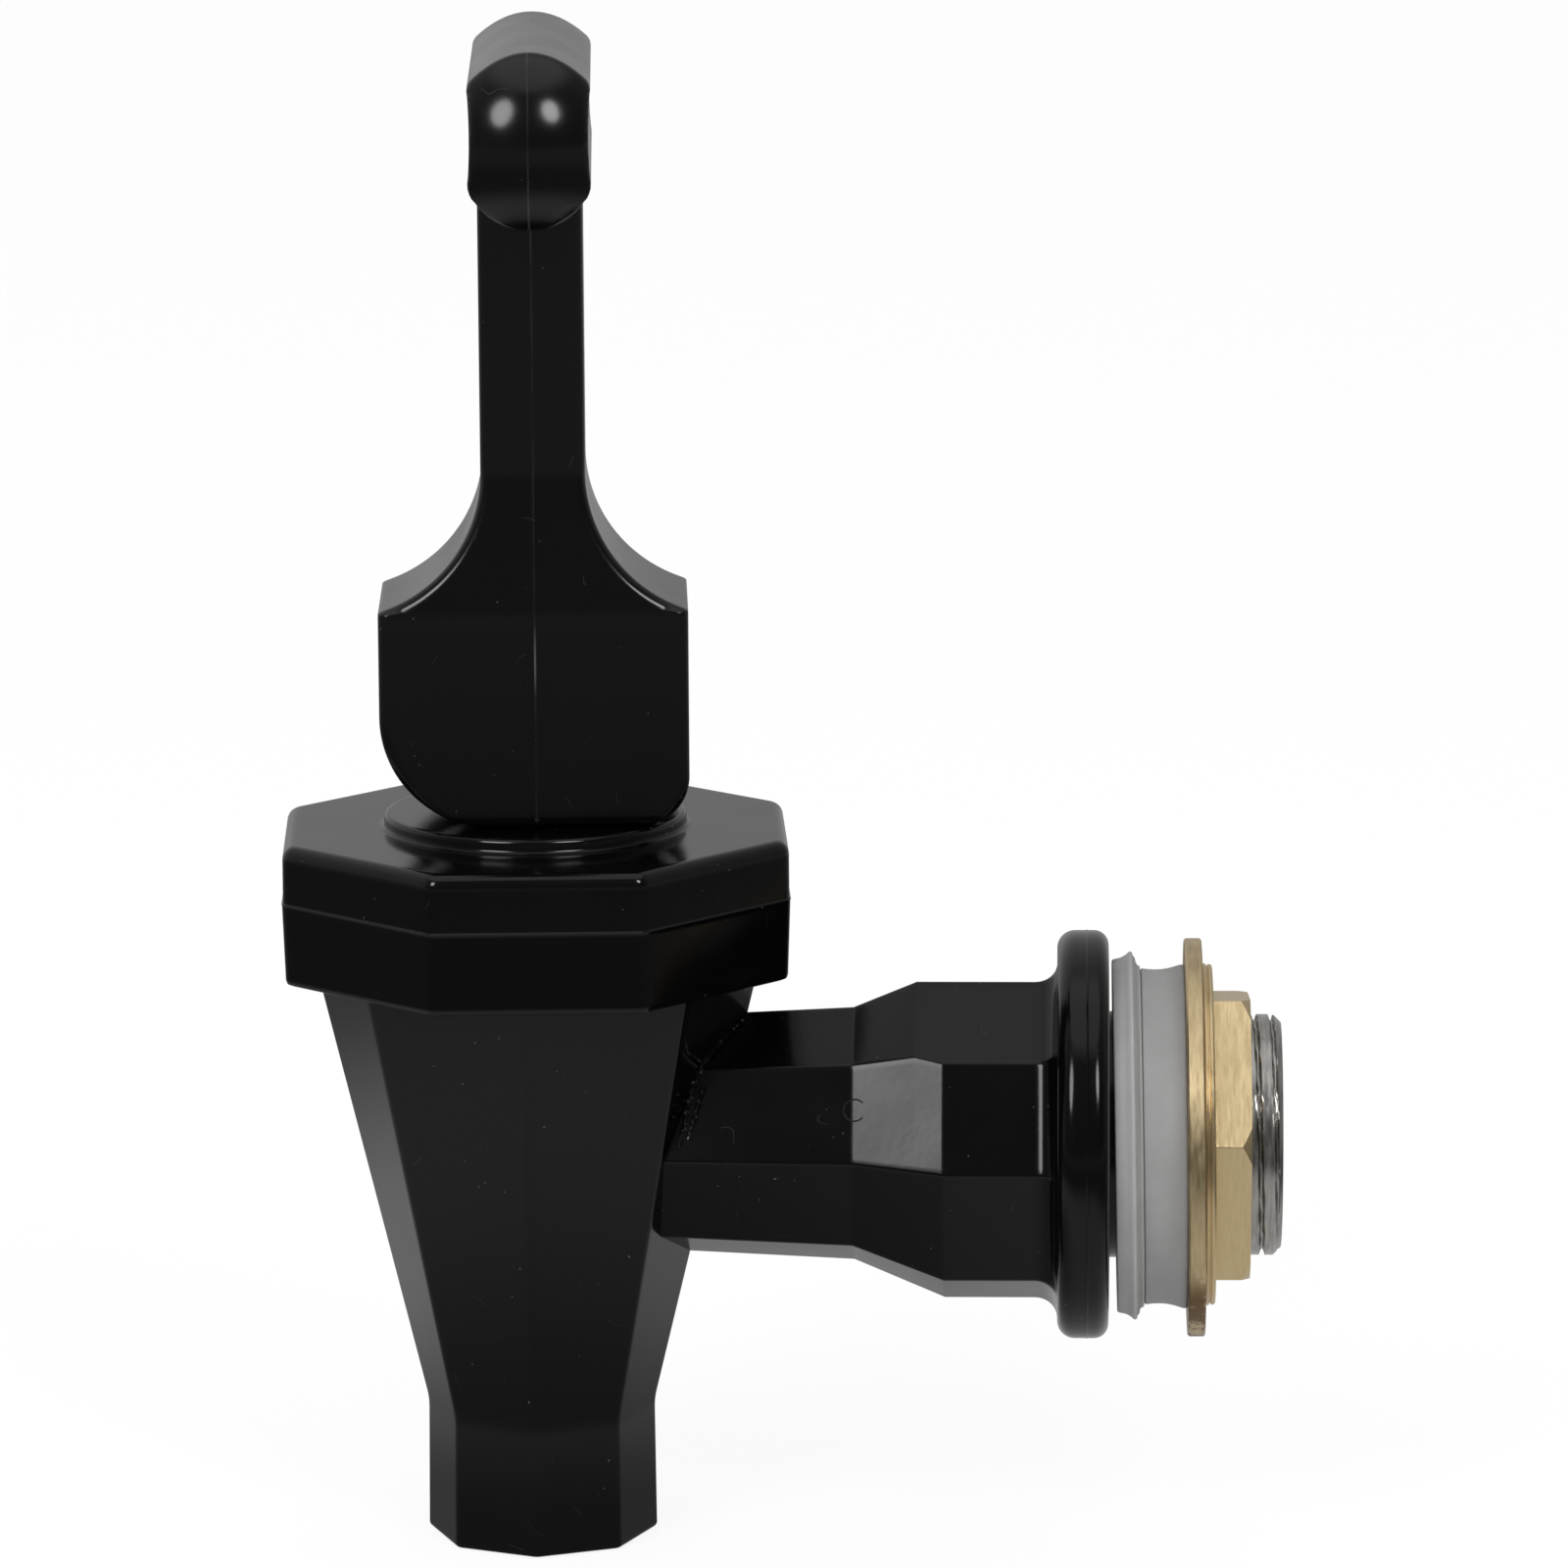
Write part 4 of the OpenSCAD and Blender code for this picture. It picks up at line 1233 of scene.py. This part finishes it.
def build_world():
    """White studio, which mirrors dim in front of the tap and bright behind and above it."""
    world = bpy.data.worlds.new("studio")
    bpy.context.scene.world = world
    world.use_nodes = True
    world.node_tree.nodes.clear()
    y = coordinate(world, "Generated", "Y")
    rear = fade(world, y, -0.6, 0.5, FRONT_LEVEL, BACK_LEVEL)
    across = fade(world, coordinate(world, "Generated", "X"), -1, 1, LEFT_SHARE, RIGHT_SHARE)
    low = maths(world, "MULTIPLY", rear, across)
    high = fade(world, y, 0.2, 0.6, TOP_LEVEL, HIGH_BACK_LEVEL)
    share = fade(world, coordinate(world, "Generated", "Z"), 0.8, 0.93, 0, 1)
    step = maths(world, "MULTIPLY", maths(world, "SUBTRACT", high, low), share)
    level = maths(world, "ADD", low, step)
    path, mirror = mirror_rays(world)
    lit = maths(world, "MULTIPLY", mirror, level)
    fill = maths(world, "MULTIPLY", maths(world, "SUBTRACT", 1.0, mirror), FILL_LEVEL)
    total = maths(world, "MAXIMUM", maths(world, "ADD", lit, fill), path.outputs["Is Camera Ray"])
    background = node(world, "ShaderNodeBackground", Color=(1, 1, 1, 1))
    link(world, total, background.inputs["Strength"])
    output = node(world, "ShaderNodeOutputWorld")
    link(world, background.outputs["Background"], output.inputs["Surface"])


def add_softbox(name, azimuth, elevation, width, height, power):
    """A softbox in front of the tap, at angles to the right of and above its front."""
    light = bpy.data.lights.new(name, "AREA")
    light.shape = "ELLIPSE"
    light.size = width
    light.size_y = height
    light.energy = power
    lamp = scene_object(name, light)
    right = math.radians(azimuth)
    up = math.radians(elevation)
    away = Vector((math.sin(right) * math.cos(up), -math.cos(right) * math.cos(up), math.sin(up)))
    target = Vector((VALVE_X * MM, 0, 0.04))
    lamp.location = target + away * LAMP_REACH
    lamp.rotation_euler = (-away).to_track_quat("-Z", "Y").to_euler()


def build_camera():
    """Camera at the photograph's place, turned slightly and tipped down."""
    yaw = math.radians(-1.85)
    pitch = math.radians(11.36)
    roll = math.radians(-0.31)
    ahead = Vector((math.sin(yaw) * math.cos(pitch), math.cos(yaw) * math.cos(pitch), -math.sin(pitch)))
    right = Vector((math.cos(yaw), -math.sin(yaw), 0))
    up = right.cross(ahead)
    right_rolled = right * math.cos(roll) + up * math.sin(roll)
    up_rolled = up * math.cos(roll) - right * math.sin(roll)
    data = bpy.data.cameras.new("camera")
    data.sensor_width = 36.0
    data.lens = 191.25
    data.clip_start = 0.01
    camera = scene_object("camera", data)
    rows = [(right_rolled[i], up_rolled[i], -ahead[i], CAMERA_AT[i] * MM) for i in range(3)]
    camera.matrix_world = Matrix((*rows, (0, 0, 0, 1)))
    bpy.context.scene.camera = camera


# Scales that squeeze a metal's marks into rings round an axis
ROUND_X = (8, 1, 1)
ROUND_Z = (1, 1, 6)

# The handle's plastic carries the seam line with its painted sheen and glint
gloss_black = moulded_plastic("handle_gloss_black", 0.0015, 0.18, wave=60, grain=900, seam=True)
cap_black = moulded_plastic("bonnet_gloss_black", 0.001, 0.13, wave=70, grain=900, ior=1.42)
satin_black = moulded_plastic("housing_satin_black", 0.0012, 0.15, wave=80, grain=1400, ior=1.38)
lip_rubber = rubber("lip_gasket_grey", 0.26, 0.29)
wall_rubber = rubber("wall_gasket_grey", 0.225, 0.25)
cup_rubber = rubber("cup_pale_rubber", 0.7, 0.78)
stem_white = rubber("stem_pale_plastic", 0.75, 0.8)
steel = turned_metal("stainless_turned", (0.32, 0.31, 0.295), (0.56, 0.55, 0.52), 0.22, ROUND_X)
brass_dull = turned_metal(
    "washer_brushed_brass", (0.55, 0.42, 0.24), (0.75, 0.6, 0.36), 0.35, ROUND_X, dirt=(0.16, 0.09, 0.04),
)
brass_bright = turned_metal("nut_turned_brass", (0.72, 0.55, 0.3), (0.85, 0.68, 0.4), 0.3, ROUND_X)
wire_steel = turned_metal("spring_wire", (0.5, 0.5, 0.5), (0.65, 0.65, 0.65), 0.22, ROUND_Z)

build_handle(gloss_black)
build_bonnet(cap_black)
build_housing(satin_black)
build_shank(steel)
build_lip_gasket(lip_rubber)
build_wall_gasket(wall_rubber)
build_washer(brass_dull)
build_nut(brass_bright)
build_spring(wire_steel)
build_cup(cup_rubber)
paint_solids(stem_white, wire_steel)

build_floor()
build_world()
add_softbox("softbox_left", azimuth=-30, elevation=36, width=0.38, height=0.5, power=4.2)
add_softbox("softbox_right", azimuth=30, elevation=38, width=0.3, height=0.4, power=3.2)
build_camera()
bpy.context.scene.view_settings.view_transform = "Standard"
